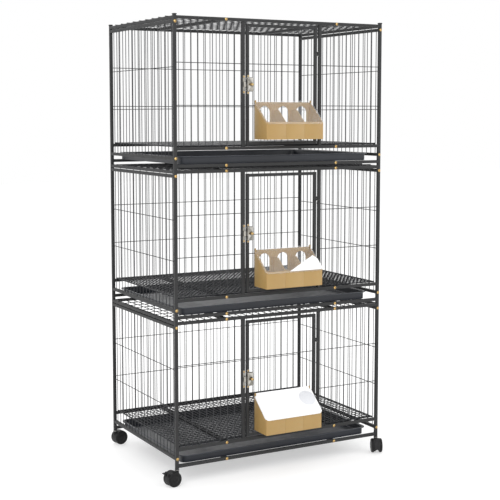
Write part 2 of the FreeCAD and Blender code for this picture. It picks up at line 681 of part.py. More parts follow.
def feeder_lid():
    """A sloping sheet with rounded front corners, turning on a barrel between the feeder's two ears.

    It is drawn about its hinge axis, flat, and then tipped to the slope of the feeder's sides.
    """
    rise = mm["feeder_back"] - mm["feeder_front"]
    run = mm["feeder_depth"] - mm["feeder_wall"]
    slope = math.atan2(rise, run)
    back_y = -mm["feeder_gap"] - mm["feeder_wall"]
    over_rim = (
        (mm["lid_axis_y"] + back_y) * math.sin(slope)
        + (mm["lid_axis_z"] - mm["feeder_low"] - mm["feeder_back"]) * math.cos(slope)
    )
    low = f"lid_lift - {round(over_rim, 3)}"
    neck = "(lid_ear_r + lid_nose)"
    strip = "(feeder_wall + lid_lift)"
    length = f"{round(math.hypot(rise, run), 1)} + lid_nose - {neck}"
    body = body_of("lid_body")
    panel = box("lid_panel", ("feeder_width + 2 * lid_over", length, "lid_sheet"),
                ("-lid_over", f"-{neck} - ({length})", low), "PartDesign::AdditiveBox", body)
    fillet(body, panel, "lid_corner", lambda e: upright(e) and e.BoundBox.YMax < -mm["feeder_depth"])
    inner = f"feeder_width - 2 * {strip}"
    box("lid_strip", (inner, f"{neck} + wall / 2", "lid_sheet"), (strip, f"-{neck}", low),
        "PartDesign::AdditiveBox", body)
    cylinder("lid_barrel", "lid_barrel_r", inner, (strip, "0", "0"), "x",
             "PartDesign::AdditiveCylinder", body)
    body.Tip = cylinder("lid_pins", "lid_pin_r", "feeder_width", ("0", "0", "0"), "x",
                        "PartDesign::AdditiveCylinder", body)
    body.Placement = Placement(Vector(), Rotation(X_AXIS, math.degrees(slope)))
    put(body, ("feeder_left", "-lid_axis_y", "lid_axis_z"))
    tier_part("feeder_lid", [body])


# ---------------------------------------------------------------- fasteners and caps

def bolt_shape():
    """A dome-head bolt along +y, its head's underside at y = 0."""
    shank = Part.makeCylinder(mm["bolt_r"], mm["bolt_reach"], Vector(), Y_AXIS)
    dome_r = (mm["head_r"] ** 2 + mm["head_height"] ** 2) / (2 * mm["head_height"])
    dome = Part.makeSphere(dome_r, Vector(0, dome_r - mm["head_height"], 0))
    keep = Part.makeCylinder(mm["head_r"], mm["head_height"], Vector(), Vector(0, -1, 0))
    return shank.fuse(dome.common(keep)).removeSplitter()


def insert_shape():
    """A square threaded insert pressed into the end of a tube, its near face at y = 0."""
    side = mm["tube"] - 2 * mm["wall"] - 2 * mm["hairline"]
    block = Part.makeBox(side, mm["nut_depth"], side, Vector(-side / 2, 0, -side / 2))
    bore = Part.makeCylinder(mm["bolt_hole_r"], mm["nut_depth"] + 2, Vector(0, -1, 0), Y_AXIS)
    return block.cut(bore)


def fasteners():
    """Bolts through the front and back tubes into inserts in the side rails and cross bars."""
    bolt, insert = bolt_shape(), insert_shape()
    spots = [(x, mm[z] + half) for x in (half, mm["cage_width"] - half) for z in side_levels]
    spots += [(evaluate(x), mm[z] + half) for x in bar_x for z in rail_levels]
    bolts, inserts = [], []
    turned = Rotation(Z_AXIS, 180)
    insert_y = mm["tube"] + mm["insert_deep"]
    for level in range(len(TIERS)):
        for x, z in spots:
            height = z + level * mm["tier_height"]
            for shape, out, y in ((bolt, bolts, 0), (insert, inserts, insert_y)):
                front = shape.copy()
                front.Placement = Placement(Vector(x, y, height), Rotation())
                back = shape.copy()
                back.Placement = Placement(Vector(x, mm["cage_depth"] - y, height), turned)
                out += [front, back]
    shared_part("frame_bolts", bolts)
    shared_part("rail_inserts", inserts)


def post_centres():
    far_x, far_y = mm["cage_width"] - half, mm["cage_depth"] - half
    return {
        "front_left": Vector(half, half, 0),
        "front_right": Vector(far_x, half, 0),
        "back_left": Vector(half, far_y, 0),
        "back_right": Vector(far_x, far_y, 0),
    }


def dowels_and_caps():
    dowel_r = half - mm["wall"] - mm["slip"]
    dowel_list, cap_list = [], []
    side, lip = mm["cap_width"], mm["cap_height"]
    for centre in post_centres().values():
        for level in (1, 2):
            low = Vector(0, 0, level * mm["tier_height"] - mm["dowel_down"])
            dowel_list.append(Part.makeCylinder(dowel_r, mm["dowel"], centre + low))
        top = centre + Vector(0, 0, 3 * mm["tier_height"])
        head = Part.makeBox(side, side, lip, top - Vector(side / 2, side / 2, 0))
        head = head.makeFillet(mm["cap_round"], [e for e in head.Edges if e.BoundBox.ZMax > top.z + lip / 2])
        plug = Part.makeCylinder(dowel_r, mm["cap_plug"], top - Z_AXIS * mm["cap_plug"])
        cap_list.append(head.fuse(plug).removeSplitter())
    shared_part("post_dowels", dowel_list)
    shared_part("post_caps", cap_list)


# ---------------------------------------------------------------- casters
# A caster is drawn with its swivel axis on z, its axle trailing along +x and the floor at z = 0.

def caster_stems():
    stems = []
    for centre in post_centres().values():
        foot = centre - Vector(0, 0, mm["base_height"])
        flange_z, spindle_z = Z_AXIS * mm["flange_low"], Z_AXIS * mm["spindle_low"]
        flange = Part.makeCylinder(1.5 * half, mm["base_height"] - mm["flange_low"], foot + flange_z)
        spindle = Part.makeCylinder(mm["axle_r"], mm["flange_low"] - mm["spindle_low"], foot + spindle_z)
        plug = Part.makeCylinder(half - mm["wall"] - mm["slip"], mm["stem_plug"], centre)
        stems.append(flange.fuse([spindle, plug]).removeSplitter())
    shared_part("caster_stems", stems)


def caster_housing(with_brake):
    """The hood between the wheels, with the swivel boss on it and the axle through it."""
    tag = "brake" if with_brake else "plain"
    centre = ("trail", "-hood_half", "wheel_r")
    drum = cylinder(f"{tag}_drum", "hood_r", "2 * hood_half", centre, "y")
    open_foot = fuse(f"{tag}_open_foot", [
        box(f"{tag}_below", ("4 * hood_r", "3 * hood_half", "2 * hood_low"),
            ("-hood_r", "-1.5 * hood_half", "-hood_low")),
        cylinder(f"{tag}_tunnel", "tunnel_r", "4 * hood_r", ("-hood_r", "0", "hood_low"), "x"),
    ])
    boss = cylinder(f"{tag}_boss", "boss_r", "boss_tall", ("0", "0", "boss_top - boss_tall"))
    solids = [cut(f"{tag}_hood", drum, open_foot), boss]
    if with_brake:
        inner_face = "(pedal_wide / 2 + pedal_play)"
        for side, y in (("left", inner_face), ("right", f"-{inner_face} - lug_thick")):
            lug = box(f"brake_lug_{side}", ("lug_long", "lug_thick", "lug_tall"), ("lug_x", y, "lug_low"))
            solids.append(lug)
        pin_end = f"({inner_face} + lug_thick / 2)"
        pin_at = ("pedal_pin_x", f"-{pin_end}", "pedal_pin_z")
        solids.append(cylinder("brake_pin", "pedal_pin_r", f"2 * {pin_end}", pin_at, "y"))
    whole = fuse(f"{tag}_housing_solid", solids)
    foot = ("0", "0", "spindle_low - wall / 2")
    bores = fuse(f"{tag}_bores", [
        cylinder(f"{tag}_spindle_bore", "axle_r + running", "boss_top", foot),
        cylinder(f"{tag}_axle_bore", "axle_r + running / 5", "3 * hood_half",
                 ("trail", "-1.5 * hood_half", "wheel_r"), "y"),
    ])
    housing = cut(f"{tag}_housing", whole, bores)
    axle = cylinder(f"{tag}_axle", "axle_r", "2 * (wheel_inner + wheel_width) - wall",
                    ("trail", "wall / 2 - wheel_inner - wheel_width", "wheel_r"), "y")
    return [housing, axle]


def wheel_pair():
    """Two wheels with round shoulders and domed outer faces, each turned about the axle line."""
    wheels = []
    for side in (1, -1):
        body = body_of("wheel_left" if side > 0 else "wheel_right")
        inner, bore = "wheel_inner", "axle_r + running"
        points = [
            (bore, inner),
            ("wheel_r - tread_ease", inner),
            ("wheel_r", f"{inner} + tread_ease"),
            ("wheel_r", f"{inner} + tread_flat"),
            ("wheel_r - shoulder_drop", f"{inner} + shoulder_in"),
            ("wheel_r - rim_drop", f"{inner} + rim_in"),
            ("wheel_r - dome_drop", f"{inner} + dome_in"),
            ("hub_r", f"{inner} + wheel_width"),
            (bore, f"{inner} + wheel_width"),
        ]
        sk = outline(body, body.Name + "_profile", "XY_Plane", points)
        turned = body.newObject("PartDesign::Revolution", body.Name + "_turned")
        turned.Profile = sk
        turned.ReferenceAxis = (sk, ["V_Axis"])
        turned.Angle = 360
        if side < 0:
            body.Placement = Placement(Vector(), Rotation(X_AXIS, 180))
        put(body, ("trail", "0", "wheel_r"))
        wheels.append(body)
    return wheels


def brake_lever():
    """A foot pedal that turns on the pin between the hood's two lugs."""
    pedal = box("pedal", ("pedal_long", "pedal_wide", "pedal_thick"),
                ("pedal_x", "-pedal_wide / 2", "pedal_pin_z - pedal_thick / 2"))
    bore = cylinder("pedal_bore", "pedal_pin_r + running", "pedal_wide + 2 * wall",
                    ("pedal_pin_x", "-pedal_wide / 2 - wall", "pedal_pin_z"), "y")
    return [cut("pedal_bored", pedal, bore)]


CASTER_TURNS = {"front_left": 189, "front_right": 244, "back_left": 9, "back_right": 118}
BRAKED = ("front_left", "back_right")


def casters():
    caster_stems()
    housings = {True: caster_housing(True), False: caster_housing(False)}
    wheels, lever = wheel_pair(), brake_lever()
    for corner, centre in post_centres().items():
        braked = corner in BRAKED
        pieces = [("caster_housing", housings[braked]), ("caster_wheels", wheels)]
        if braked:
            pieces.append(("brake_lever", lever))
        spot = (f"cage_left + {centre.x}", f"cage_front + {centre.y}", "0")
        for piece, members in pieces:
            placed(f"{corner}_{piece}", members, spot, CASTER_TURNS[corner])


# ---------------------------------------------------------------- build and write

front_panel()
back_panel()
side_panel("left", "0", 1)
side_panel("right", "cage_width - tube", -1)
roof_panel()
floor_grate()
cross_bars()
door()
hinge_fixings()
latch()
keepers()
tray()
feeder_box()
feeder_lid()
fasteners()
dowels_and_caps()
casters()
doc.recompute()

for obj in doc.Objects:
    if "Invalid" in obj.State or "Error" in obj.State:
        raise RuntimeError(f"{obj.Label} failed: {obj.State}")

whole = FreeCAD.BoundBox()
for node in nodes:
    shape = node.Shape
    if shape.isNull() or not shape.isValid():
        raise RuntimeError(f"{node.Label} has no valid shape")
    whole.add(shape.BoundBox)
    shape.exportStep(f"parts/{node.Label}.step")

print(f"{len(nodes)} nodes, {sum(len(n.Shape.Solids) for n in nodes)} solids")
print(f"size {whole.XLength:.2f} x {whole.YLength:.2f} x {whole.ZLength:.2f} mm")
print(f"middle of the footprint {whole.Center.x:.3f}, {whole.Center.y:.3f}; lowest point {whole.ZMin:.3f}")
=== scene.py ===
import json
import math
import random

import bmesh
import bpy
import numpy as np
from mathutils import Matrix, Vector


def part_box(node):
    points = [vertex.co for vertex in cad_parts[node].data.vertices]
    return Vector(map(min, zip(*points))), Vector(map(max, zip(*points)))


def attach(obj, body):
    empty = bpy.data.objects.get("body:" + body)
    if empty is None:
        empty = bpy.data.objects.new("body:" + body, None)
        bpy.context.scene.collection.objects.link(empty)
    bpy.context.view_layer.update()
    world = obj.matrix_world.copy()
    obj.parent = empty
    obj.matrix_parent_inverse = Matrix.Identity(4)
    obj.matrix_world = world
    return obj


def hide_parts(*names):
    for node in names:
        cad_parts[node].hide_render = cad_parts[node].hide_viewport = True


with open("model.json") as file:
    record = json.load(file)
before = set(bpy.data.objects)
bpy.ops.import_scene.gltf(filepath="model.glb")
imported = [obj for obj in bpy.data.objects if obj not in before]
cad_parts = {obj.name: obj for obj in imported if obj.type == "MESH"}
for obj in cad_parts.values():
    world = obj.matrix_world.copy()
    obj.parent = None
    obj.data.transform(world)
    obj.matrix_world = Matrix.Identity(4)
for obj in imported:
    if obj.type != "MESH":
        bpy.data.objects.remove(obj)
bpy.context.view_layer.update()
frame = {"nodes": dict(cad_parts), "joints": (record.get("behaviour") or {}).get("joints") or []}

# The looks of a three-tier kennel cage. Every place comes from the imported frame: the front panel's
# low corner is a tier's origin, and the tubes, wires, bolts and caps are found in the CAD nodes.
# Lengths are written in millimetres and turned into metres by MM.

MM = 0.001
TIERS = ("lower", "middle", "upper")
CORNERS = ("front_left", "front_right", "back_left", "back_right")
JOINTS = {joint["name"]: joint for joint in frame["joints"]}
dice = random.Random(11)


# ---------------------------------------------------------------- reading the frame

def solids_of(node):
    """The boxes of the separate solids of a CAD node, each as (lowest corner, highest corner)."""
    mesh = frame["nodes"][node].data
    co = np.zeros(len(mesh.vertices) * 3, np.float32)
    mesh.vertices.foreach_get("co", co)
    co = co.reshape(-1, 3).astype(float)
    _, welded = np.unique(np.round(co * 1e5).astype(np.int64), axis=0, return_inverse=True)
    welded = welded.reshape(-1)
    ends = np.zeros(len(mesh.edges) * 2, np.int32)
    mesh.edges.foreach_get("vertices", ends)
    a, b = welded[ends].reshape(-1, 2).T
    label = np.arange(welded.max() + 1)
    while True:
        low = np.minimum(label[a], label[b])
        after = label.copy()
        np.minimum.at(after, a, low)
        np.minimum.at(after, b, low)
        after = after[after]
        if (after == label).all():
            break
        label = after
    of_vertex = label[welded]
    boxes = []
    for key in np.unique(of_vertex):
        own = co[of_vertex == key]
        boxes.append((Vector(own.min(0)), Vector(own.max(0))))
    return boxes


def tier_point(tier, x, y, z):
    """A point given in millimetres from a tier's front left low corner."""
    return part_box(f"{tier}_front_panel")[0] + Vector((x, y, z)) * MM


def long_axis(box):
    size = box[1] - box[0]
    return max(range(3), key=lambda i: size[i])


def thickness(box):
    return min(box[1] - box[0])


# ---------------------------------------------------------------- mesh helpers

def skin(bm, rings, caps=True, around=False):
    """Skins a row of rings of equal length. around joins the last ring to the first."""
    rows = [[bm.verts.new(p) for p in ring] for ring in rings]
    count = len(rows[0])
    pairs = list(zip(rows, rows[1:])) + ([(rows[-1], rows[0])] if around else [])
    for low, high in pairs:
        for i in range(count):
            j = (i + 1) % count
            bm.faces.new((low[i], low[j], high[j], high[i]))
    if caps and not around:
        bm.faces.new(list(reversed(rows[0])))
        bm.faces.new(rows[-1])


def rounded_outline(x0, y0, x1, y1, radius, steps=3):
    """A rectangle with round corners, anticlockwise, as (x, y) pairs."""
    points = []
    corners = ((x1, y1, 0), (x0, y1, 90), (x0, y0, 180), (x1, y0, 270))
    for cx, cy, start in corners:
        sx = -1 if cx == x1 else 1
        sy = -1 if cy == y1 else 1
        for i in range(steps + 1):
            a = math.radians(start + 90 * i / steps)
            points.append((cx + sx * radius + radius * math.cos(a), cy + sy * radius + radius * math.sin(a)))
    return points


def place_in(axis, along, u, v):
    """A point from its place along an axis and across it."""
    return {0: Vector((along, u, v)), 1: Vector((v, along, u)), 2: Vector((u, v, along))}[axis]


def bar(bm, low, high, axis, corner=1.1 * MM, ease=0.35 * MM):
    """A square bar with rounded long edges and eased ends."""
    u, v = [(1, 2), (2, 0), (0, 1)][axis]
    rings = []
    start, end = low[axis], high[axis]
    for along, cut in ((start, ease), (start + ease, 0), (end - ease, 0), (end, ease)):
        outline = rounded_outline(low[u] + cut, low[v] + cut, high[u] - cut, high[v] - cut, corner)
        rings.append([place_in(axis, along, *p) for p in outline])
    skin(bm, rings)


def bead(bm, centre, axis, half, radius=0.8 * MM):
    """A weld bead round the end of a square bar, with the ripple of a hand-run weld."""
    path = rounded_outline(-half, -half, half, half, 1.2 * MM, 4)
    fine = []
    for i, p in enumerate(path):
        q = path[(i + 1) % len(path)]
        gap = math.hypot(q[0] - p[0], q[1] - p[1])
        parts = max(1, round(gap / (1.4 * MM)))
        fine += [(p[0] + (q[0] - p[0]) * k / parts, p[1] + (q[1] - p[1]) * k / parts) for k in range(parts)]
    rings = []
    for x, y in fine:
        reach = math.hypot(x, y)
        out = Vector((x / reach, y / reach))
        fat = radius * dice.uniform(0.75, 1.15)
        ring = []
        for k in range(6):
            a = 2 * math.pi * k / 6
            p = Vector((x, y)) + out * fat * math.cos(a)
            ring.append(centre + place_in(axis, fat * math.sin(a), p.x, p.y))
        rings.append(ring)
    skin(bm, rings, around=True)


def rod(bm, a, b, radius, sides=10):
    """A round rod between two points."""
    along = (b - a).normalized()
    u = along.orthogonal().normalized()
    v = along.cross(u)
    turn = [2 * math.pi * i / sides for i in range(sides)]
    skin(bm, [[p + (u * math.cos(t) + v * math.sin(t)) * radius for t in turn] for p in (a, b)])


def nugget(bm, centre, radius, squash=(1, 1, 1)):
    """The small lump of a spot weld."""
    scale = Matrix.Diagonal(Vector(squash) * radius * dice.uniform(0.9, 1.1)).to_4x4()
    bmesh.ops.create_icosphere(bm, subdivisions=1, radius=1, matrix=Matrix.Translation(centre) @ scale)


def lathe(bm, profile, place, sides=40):
    """Turns (radius, height) points about the z axis of place, a 4x4 matrix."""
    turn = [2 * math.pi * i / sides for i in range(sides)]
    rings = [[place @ Vector((r * math.cos(t), r * math.sin(t), h)) for t in turn] for r, h in profile]
    skin(bm, rings)


def prism(bm, outline, low, high, place):
    """A flat outline of (x, y) points, drawn from height low to high along the z axis of place."""
    skin(bm, [[place @ Vector((x, y, z)) for x, y in outline] for z in (low, high)])


def block(bm, low, high, radius=0.0, place=Matrix.Identity(4)):
    """A block between two corners, with its four upright edges rounded."""
    if radius:
        outline = rounded_outline(low[0], low[1], high[0], high[1], radius, 5)
    else:
        outline = [(high[0], high[1]), (low[0], high[1]), (low[0], low[1]), (high[0], low[1])]
    prism(bm, outline, low[2], high[2], place)


# Turns that lathe and prism are given: the height along x, or the outline in x and z and the height along y.
ALONG_X = Matrix(((0, 0, 1, 0), (1, 0, 0, 0), (0, 1, 0, 0), (0, 0, 0, 1)))
SIDE_VIEW = Matrix(((1, 0, 0, 0), (0, 0, 1, 0), (0, 1, 0, 0), (0, 0, 0, 1)))


def mesh_object(bm, name):
    bmesh.ops.recalc_face_normals(bm, faces=bm.faces)
    mesh = bpy.data.meshes.new(name)
    bm.to_mesh(mesh)
    bm.free()
    obj = bpy.data.objects.new(name, mesh)
    bpy.context.scene.collection.objects.link(obj)
    return obj


def carve(obj, cutters):
    """Cuts the cutters out of obj and leaves a plain mesh."""
    for cutter in cutters:
        modifier = obj.modifiers.new("cut", "BOOLEAN")
        modifier.operation = "DIFFERENCE"
        modifier.solver = "EXACT"
        modifier.object = cutter
    flatten(obj)
    for cutter in cutters:
        bpy.data.objects.remove(cutter)


def flatten(obj):
    """Turns obj's modifiers into its mesh."""
    graph = bpy.context.evaluated_depsgraph_get()
    made = bpy.data.meshes.new_from_object(obj.evaluated_get(graph))
    obj.modifiers.clear()
    obj.data = made


def round_edges(obj, width, segments=2, angle=35):
    modifier = obj.modifiers.new("round", "BEVEL")
    modifier.width = width
    modifier.segments = segments
    modifier.limit_method = "ANGLE"
    modifier.angle_limit = math.radians(angle)
    modifier.harden_normals = False


def dress(obj, material, body, stands_for=(), smooth=40):
    """Gives a piece its material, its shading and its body."""
    obj.data.materials.clear()
    obj.data.materials.append(material)
    obj.data.shade_smooth()
    if smooth:
        obj.data.set_sharp_from_angle(angle=math.radians(smooth))
    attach(obj, body)
    if stands_for:
        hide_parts(*stands_for)
    return obj


# ---------------------------------------------------------------- materials

class Shader:
    """A Principled material with object coordinates and helpers for its textures."""

    def __init__(self, name, **fixed):
        self.material = bpy.data.materials.new(name)
        self.material.use_nodes = True
        self.tree = self.material.node_tree
        self.main = self.tree.nodes["Principled BSDF"]
        self.coords = self.add("ShaderNodeTexCoord").outputs["Object"]
        for socket, value in fixed.items():
            self.main.inputs[socket.replace("_", " ")].default_value = value

    def add(self, kind, **inputs):
        node = self.tree.nodes.new(kind)
        for socket, value in inputs.items():
            self.feed(node.inputs[socket.replace("_", " ")], value)
        return node

    def feed(self, socket, value):
        if isinstance(value, bpy.types.NodeSocket):
            self.tree.links.new(value, socket)
        else:
            socket.default_value = value

    def noise(self, scale, detail=3.0, stretch=None, roughness=0.5):
        vector = self.coords
        if stretch:
            vector = self.add("ShaderNodeMapping", Vector=vector, Scale=stretch).outputs["Vector"]
        node = self.add("ShaderNodeTexNoise", Vector=vector, Scale=scale, Detail=detail, Roughness=roughness)
        return node.outputs["Fac"]

    def ramp(self, factor, *stops):
        """Colours at places from 0 to 1 along factor."""
        node = self.add("ShaderNodeValToRGB", Fac=factor)
        elements = node.color_ramp.elements
        while len(elements) < len(stops):
            elements.new(0.5)
        for element, (place, colour) in zip(elements, stops):
            element.position = place
            element.color = (*colour, 1) if len(colour) == 3 else colour
        return node.outputs["Color"]

    def span(self, factor, low, high, start=0.3, end=0.7):
        node = self.add("ShaderNodeMapRange", Value=factor)
        for socket, value in (("From Min", start), ("From Max", end), ("To Min", low), ("To Max", high)):
            node.inputs[socket].default_value = value
        return node.outputs["Result"]

    def worn(self, colour, edge_colour, start=0.53, end=0.6):
        """Mixes a paler tone in along the outer edges, where the coat is thin."""
        edge = self.span(self.add("ShaderNodeNewGeometry").outputs["Pointiness"], 0.0, 0.7, start, end)
        node = self.tree.nodes.new("ShaderNodeMix")
        node.data_type = "RGBA"
        self.feed(node.inputs["Factor"], edge)
        self.feed(node.inputs["A"], colour)
        node.inputs["B"].default_value = (*edge_colour, 1)
        return node.outputs["Result"]

    def bump(self, height, distance, strength=1.0, under=None):
        node = self.add("ShaderNodeBump", Height=height)
        node.inputs["Distance"].default_value = distance
        node.inputs["Strength"].default_value = strength
        if under:
            self.feed(node.inputs["Normal"], under)
        return node.outputs["Normal"]

    def set(self, **inputs):
        for socket, value in inputs.items():
            self.feed(self.main.inputs[socket.replace("_", " ")], value)
        return self.material


def powder_coat(name, dark, pale, edge, grain=900.0):
    """Charcoal powder coat: orange-peel bump, drifting tone and a paler line along worn edges."""
    s = Shader(name, Specular_IOR_Level=0.1)
    tone = s.ramp(s.noise(14.0, 4.0), (0.3, dark), (0.7, pale))
    peel = s.noise(grain, 2.0)
    return s.set(
        Base_Color=s.worn(tone, edge),
        Roughness=s.span(s.noise(60.0), 0.34, 0.5),
        Normal=s.bump(peel, 0.00003, 0.5),
    )


def tray_sheet():
    """Satin blue-black thermoformed sheet with faint waves."""
    s = Shader("tray_sheet", Specular_IOR_Level=0.5)
    tone = s.ramp(s.noise(5.0, 3.0), (0.3, (0.011, 0.013, 0.018)), (0.7, (0.016, 0.019, 0.027)))
    waves = s.bump(s.noise(5.0, 0.0), 0.0006, 0.25)
    return s.set(
        Base_Color=s.worn(tone, (0.06, 0.07, 0.09)),
        Roughness=s.span(s.noise(45.0), 0.36, 0.44),
        Normal=waves,
    )


def tan_plastic():
    """Moulded tan plastic: satin, with faint flow marks and a fine spark-eroded grain."""
    s = Shader("tan_plastic", Specular_IOR_Level=0.45, Subsurface_Weight=0.06, Subsurface_Scale=0.003)
    flow = s.noise(16.0, 4.0, (1.0, 1.0, 0.35))
    tone = s.ramp(
        flow,
        (0.25, (0.315, 0.19, 0.058)),
        (0.55, (0.345, 0.215, 0.070)),
        (0.8, (0.375, 0.24, 0.085)),
    )
    return s.set(
        Base_Color=s.worn(tone, (0.46, 0.32, 0.14)),
        Roughness=s.span(s.noise(70.0), 0.36, 0.5),
        Normal=s.bump(s.noise(1800.0, 2.0), 0.00004, 0.5),
    )


def clear_plastic():
    """Clear moulded sheet with a little haze and fine scuffs, whiter where it is seen edge on."""
    s = Shader("clear_plastic", Roughness=0.07, Specular_IOR_Level=0.6)
    scuffs = s.noise(260.0, 5.0, (1.0, 0.12, 1.0), 0.7)
    facing = s.add("ShaderNodeLayerWeight", Blend=0.35).outputs["Facing"]
    haze = s.add("ShaderNodeMath")
    haze.operation = "ADD"
    s.feed(haze.inputs[0], s.span(facing, 0.07, 0.8, 0.45, 1.0))
    s.feed(haze.inputs[1], s.span(scuffs, 0.0, 0.1, 0.5, 0.85))
    return s.set(
        Base_Color=s.ramp(scuffs, (0.3, (0.86, 0.86, 0.87)), (0.7, (0.95, 0.95, 0.96))),
        Alpha=haze.outputs[0],
        Normal=s.bump(s.noise(22.0, 2.0), 0.0004, 0.35),
    )


def white_film():
    """White protective film with soft wrinkles and small trapped bubbles."""
    s = Shader("white_film", Specular_IOR_Level=0.45)
    wrinkles = s.bump(s.noise(30.0, 4.0, (1.0, 0.4, 1.0)), 0.0006, 0.35)
    bubbles = s.bump(s.span(s.noise(420.0, 1.0), 0.0, 1.0, 0.62, 0.7), 0.0001, 0.4, wrinkles)
    return s.set(
        Base_Color=s.ramp(s.noise(20.0), (0.3, (0.86, 0.86, 0.865)), (0.7, (0.93, 0.93, 0.93))),
        Roughness=s.span(s.noise(60.0), 0.3, 0.42),
        Normal=bubbles,
    )


def pale_disc():
    """A plain pale grey round sticker of coated paper."""
    s = Shader("pale_disc", Specular_IOR_Level=0.35)
    return s.set(
        Base_Color=s.ramp(s.noise(300.0, 4.0), (0.3, (0.66, 0.67, 0.70)), (0.7, (0.73, 0.74, 0.77))),
        Roughness=s.span(s.noise(120.0), 0.5, 0.65),
        Normal=s.bump(s.noise(900.0, 3.0), 0.00003, 0.4),
    )


def yellow_zinc():
    """Yellow zinc plate: brassy, with the drifting green and pink of its passivation."""
    s = Shader("yellow_zinc", Metallic=1.0)
    tone = s.ramp(
        s.noise(230.0, 4.0),
        (0.3, (0.42, 0.25, 0.07)),
        (0.5, (0.58, 0.36, 0.12)),
        (0.62, (0.50, 0.40, 0.16)),
        (0.75, (0.60, 0.33, 0.16)),
    )
    return s.set(
        Base_Color=s.worn(tone, (0.60, 0.52, 0.38)),
        Roughness=s.span(s.noise(500.0), 0.24, 0.42),
        Normal=s.bump(s.noise(2200.0, 3.0), 0.00003, 0.4),
    )


def brushed_zinc(name, dark, pale):
    """Bright zinc plate over steel brushed up and down, with duller patches."""
    s = Shader(name, Metallic=1.0, Anisotropic=0.4)
    brushed = s.noise(700.0, 4.0, (1.0, 1.0, 0.04), 0.65)
    patches = s.noise(55.0, 3.0)
    tone = s.ramp(patches, (0.3, dark), (0.7, pale))
    rough = s.add("ShaderNodeMath")
    rough.operation = "ADD"
    s.feed(rough.inputs[0], s.span(brushed, 0.16, 0.34))
    s.feed(rough.inputs[1], s.span(patches, 0.0, 0.12))
    return s.set(
        Base_Color=s.worn(tone, (0.62, 0.60, 0.56)),
        Roughness=rough.outputs[0],
        Normal=s.bump(brushed, 0.00005, 0.5),
    )


def black_nylon(name, rough_low, rough_high, grain, dark=0.006, pale=0.014):
    """Black moulded nylon, a little dusty, with the fine grain of its mould."""
    s = Shader(name, Specular_IOR_Level=0.2)
    dust = s.noise(90.0, 5.0, None, 0.65)
    tone = s.ramp(dust, (0.35, (dark, dark, dark)), (0.75, (pale, pale, pale * 1.04)))
    return s.set(
        Base_Color=s.worn(tone, (0.035, 0.035, 0.036)),
        Roughness=s.span(dust, rough_low, rough_high),
        Normal=s.bump(s.noise(grain, 2.0), 0.00002, 0.5),
    )


def studio_floor():
    """A pale floor with a faint glow of its own, which keeps the shadows on it light."""
    s = Shader("studio_floor", Specular_IOR_Level=0.1, Emission_Strength=0.5)
    return s.set(
        Base_Color=s.ramp(s.noise(1.2), (0.3, (0.54, 0.54, 0.54)), (0.7, (0.56, 0.56, 0.56))),
        Emission_Color=s.ramp(s.noise(1.2), (0.3, (0.97, 0.97, 0.97)), (0.7, (0.99, 0.99, 0.99))),
        Roughness=s.span(s.noise(8.0), 0.8, 0.9),
    )


COAT = powder_coat("frame_coat", (0.009, 0.0095, 0.0105), (0.017, 0.018, 0.020), (0.06, 0.06, 0.06))
# The wires wear the same charcoal powder coat as the tubes. Their paler tones are a painted sheen for the
# white surroundings that the thin wires reflect.
WIRE_COAT_PAINTED_SHEEN = powder_coat("wire_coat_painted_sheen",
                        (0.016, 0.018, 0.021), (0.028, 0.031, 0.036), (0.06, 0.06, 0.062), 1400.0)
GRATE_COAT = powder_coat("grate_coat",
                         (0.007, 0.008, 0.010), (0.013, 0.015, 0.019), (0.03, 0.031, 0.034), 1400.0)
TRAY = tray_sheet()
TAN = tan_plastic()
CLEAR = clear_plastic()
FILM = white_film()
DISC = pale_disc()
YELLOW = yellow_zinc()
ZINC = brushed_zinc("bright_zinc", (0.17, 0.165, 0.15), (0.36, 0.34, 0.30))
STEEL = brushed_zinc("plain_steel", (0.16, 0.16, 0.16), (0.28, 0.28, 0.28))
NYLON = black_nylon("caster_nylon", 0.4, 0.6, 1100.0)
HOOD_NYLON = black_nylon("hood_nylon", 0.45, 0.62, 900.0, 0.018, 0.028)
TREAD = black_nylon("wheel_nylon", 0.28, 0.48, 1600.0)
CAP = black_nylon("cap_plastic", 0.42, 0.6, 1500.0)


# ---------------------------------------------------------------- tubes and wires

THINNEST_TUBE = 6 * MM
LONGEST_JAMB = 400 * MM


def wire_mesh(name, boxes, body, slot, node):
    """Round wires, with a weld lump where two cross and where one meets the frame."""
    bm = bmesh.new()
    runs = []
    for box in boxes:
        axis = long_axis(box)
        middle = (box[0] + box[1]) / 2
        radius = thickness(box) / 2
        a, b = middle.copy(), middle.copy()
        a[axis], b[axis] = box[0][axis], box[1][axis]
        rod(bm, a, b, radius, 12)
        for end in (a, b):
            nugget(bm, end, radius * 1.35)
        runs.append((axis, a, b, radius))
    for i, (axis, a, b, radius) in enumerate(runs):
        for other, c, d, thick in runs[i + 1:]:
            if other == axis:
                continue
            between = 3 - axis - other
            apart = abs(a[between] - c[between])
            crosses = a[other] > c[other] and a[other] < d[other] and c[axis] > a[axis] and c[axis] < b[axis]
            if crosses and apart < radius + thick + 0.2 * MM:
                at = Vector((0, 0, 0))
                at[axis], at[other] = c[axis], a[other]
                at[between] = (a[between] + c[between]) / 2
                flat = [1.2, 1.2, 1.2]
                flat[between] = 0.8
                nugget(bm, at, radius * 1.05, flat)
    obj = mesh_object(bm, name)
    # Wires outside the floor grate get the coat with the painted sheen.
    coat = GRATE_COAT if slot == "grate_coat" else WIRE_COAT_PAINTED_SHEEN
    return dress(obj, coat, body, (node,), smooth=60)


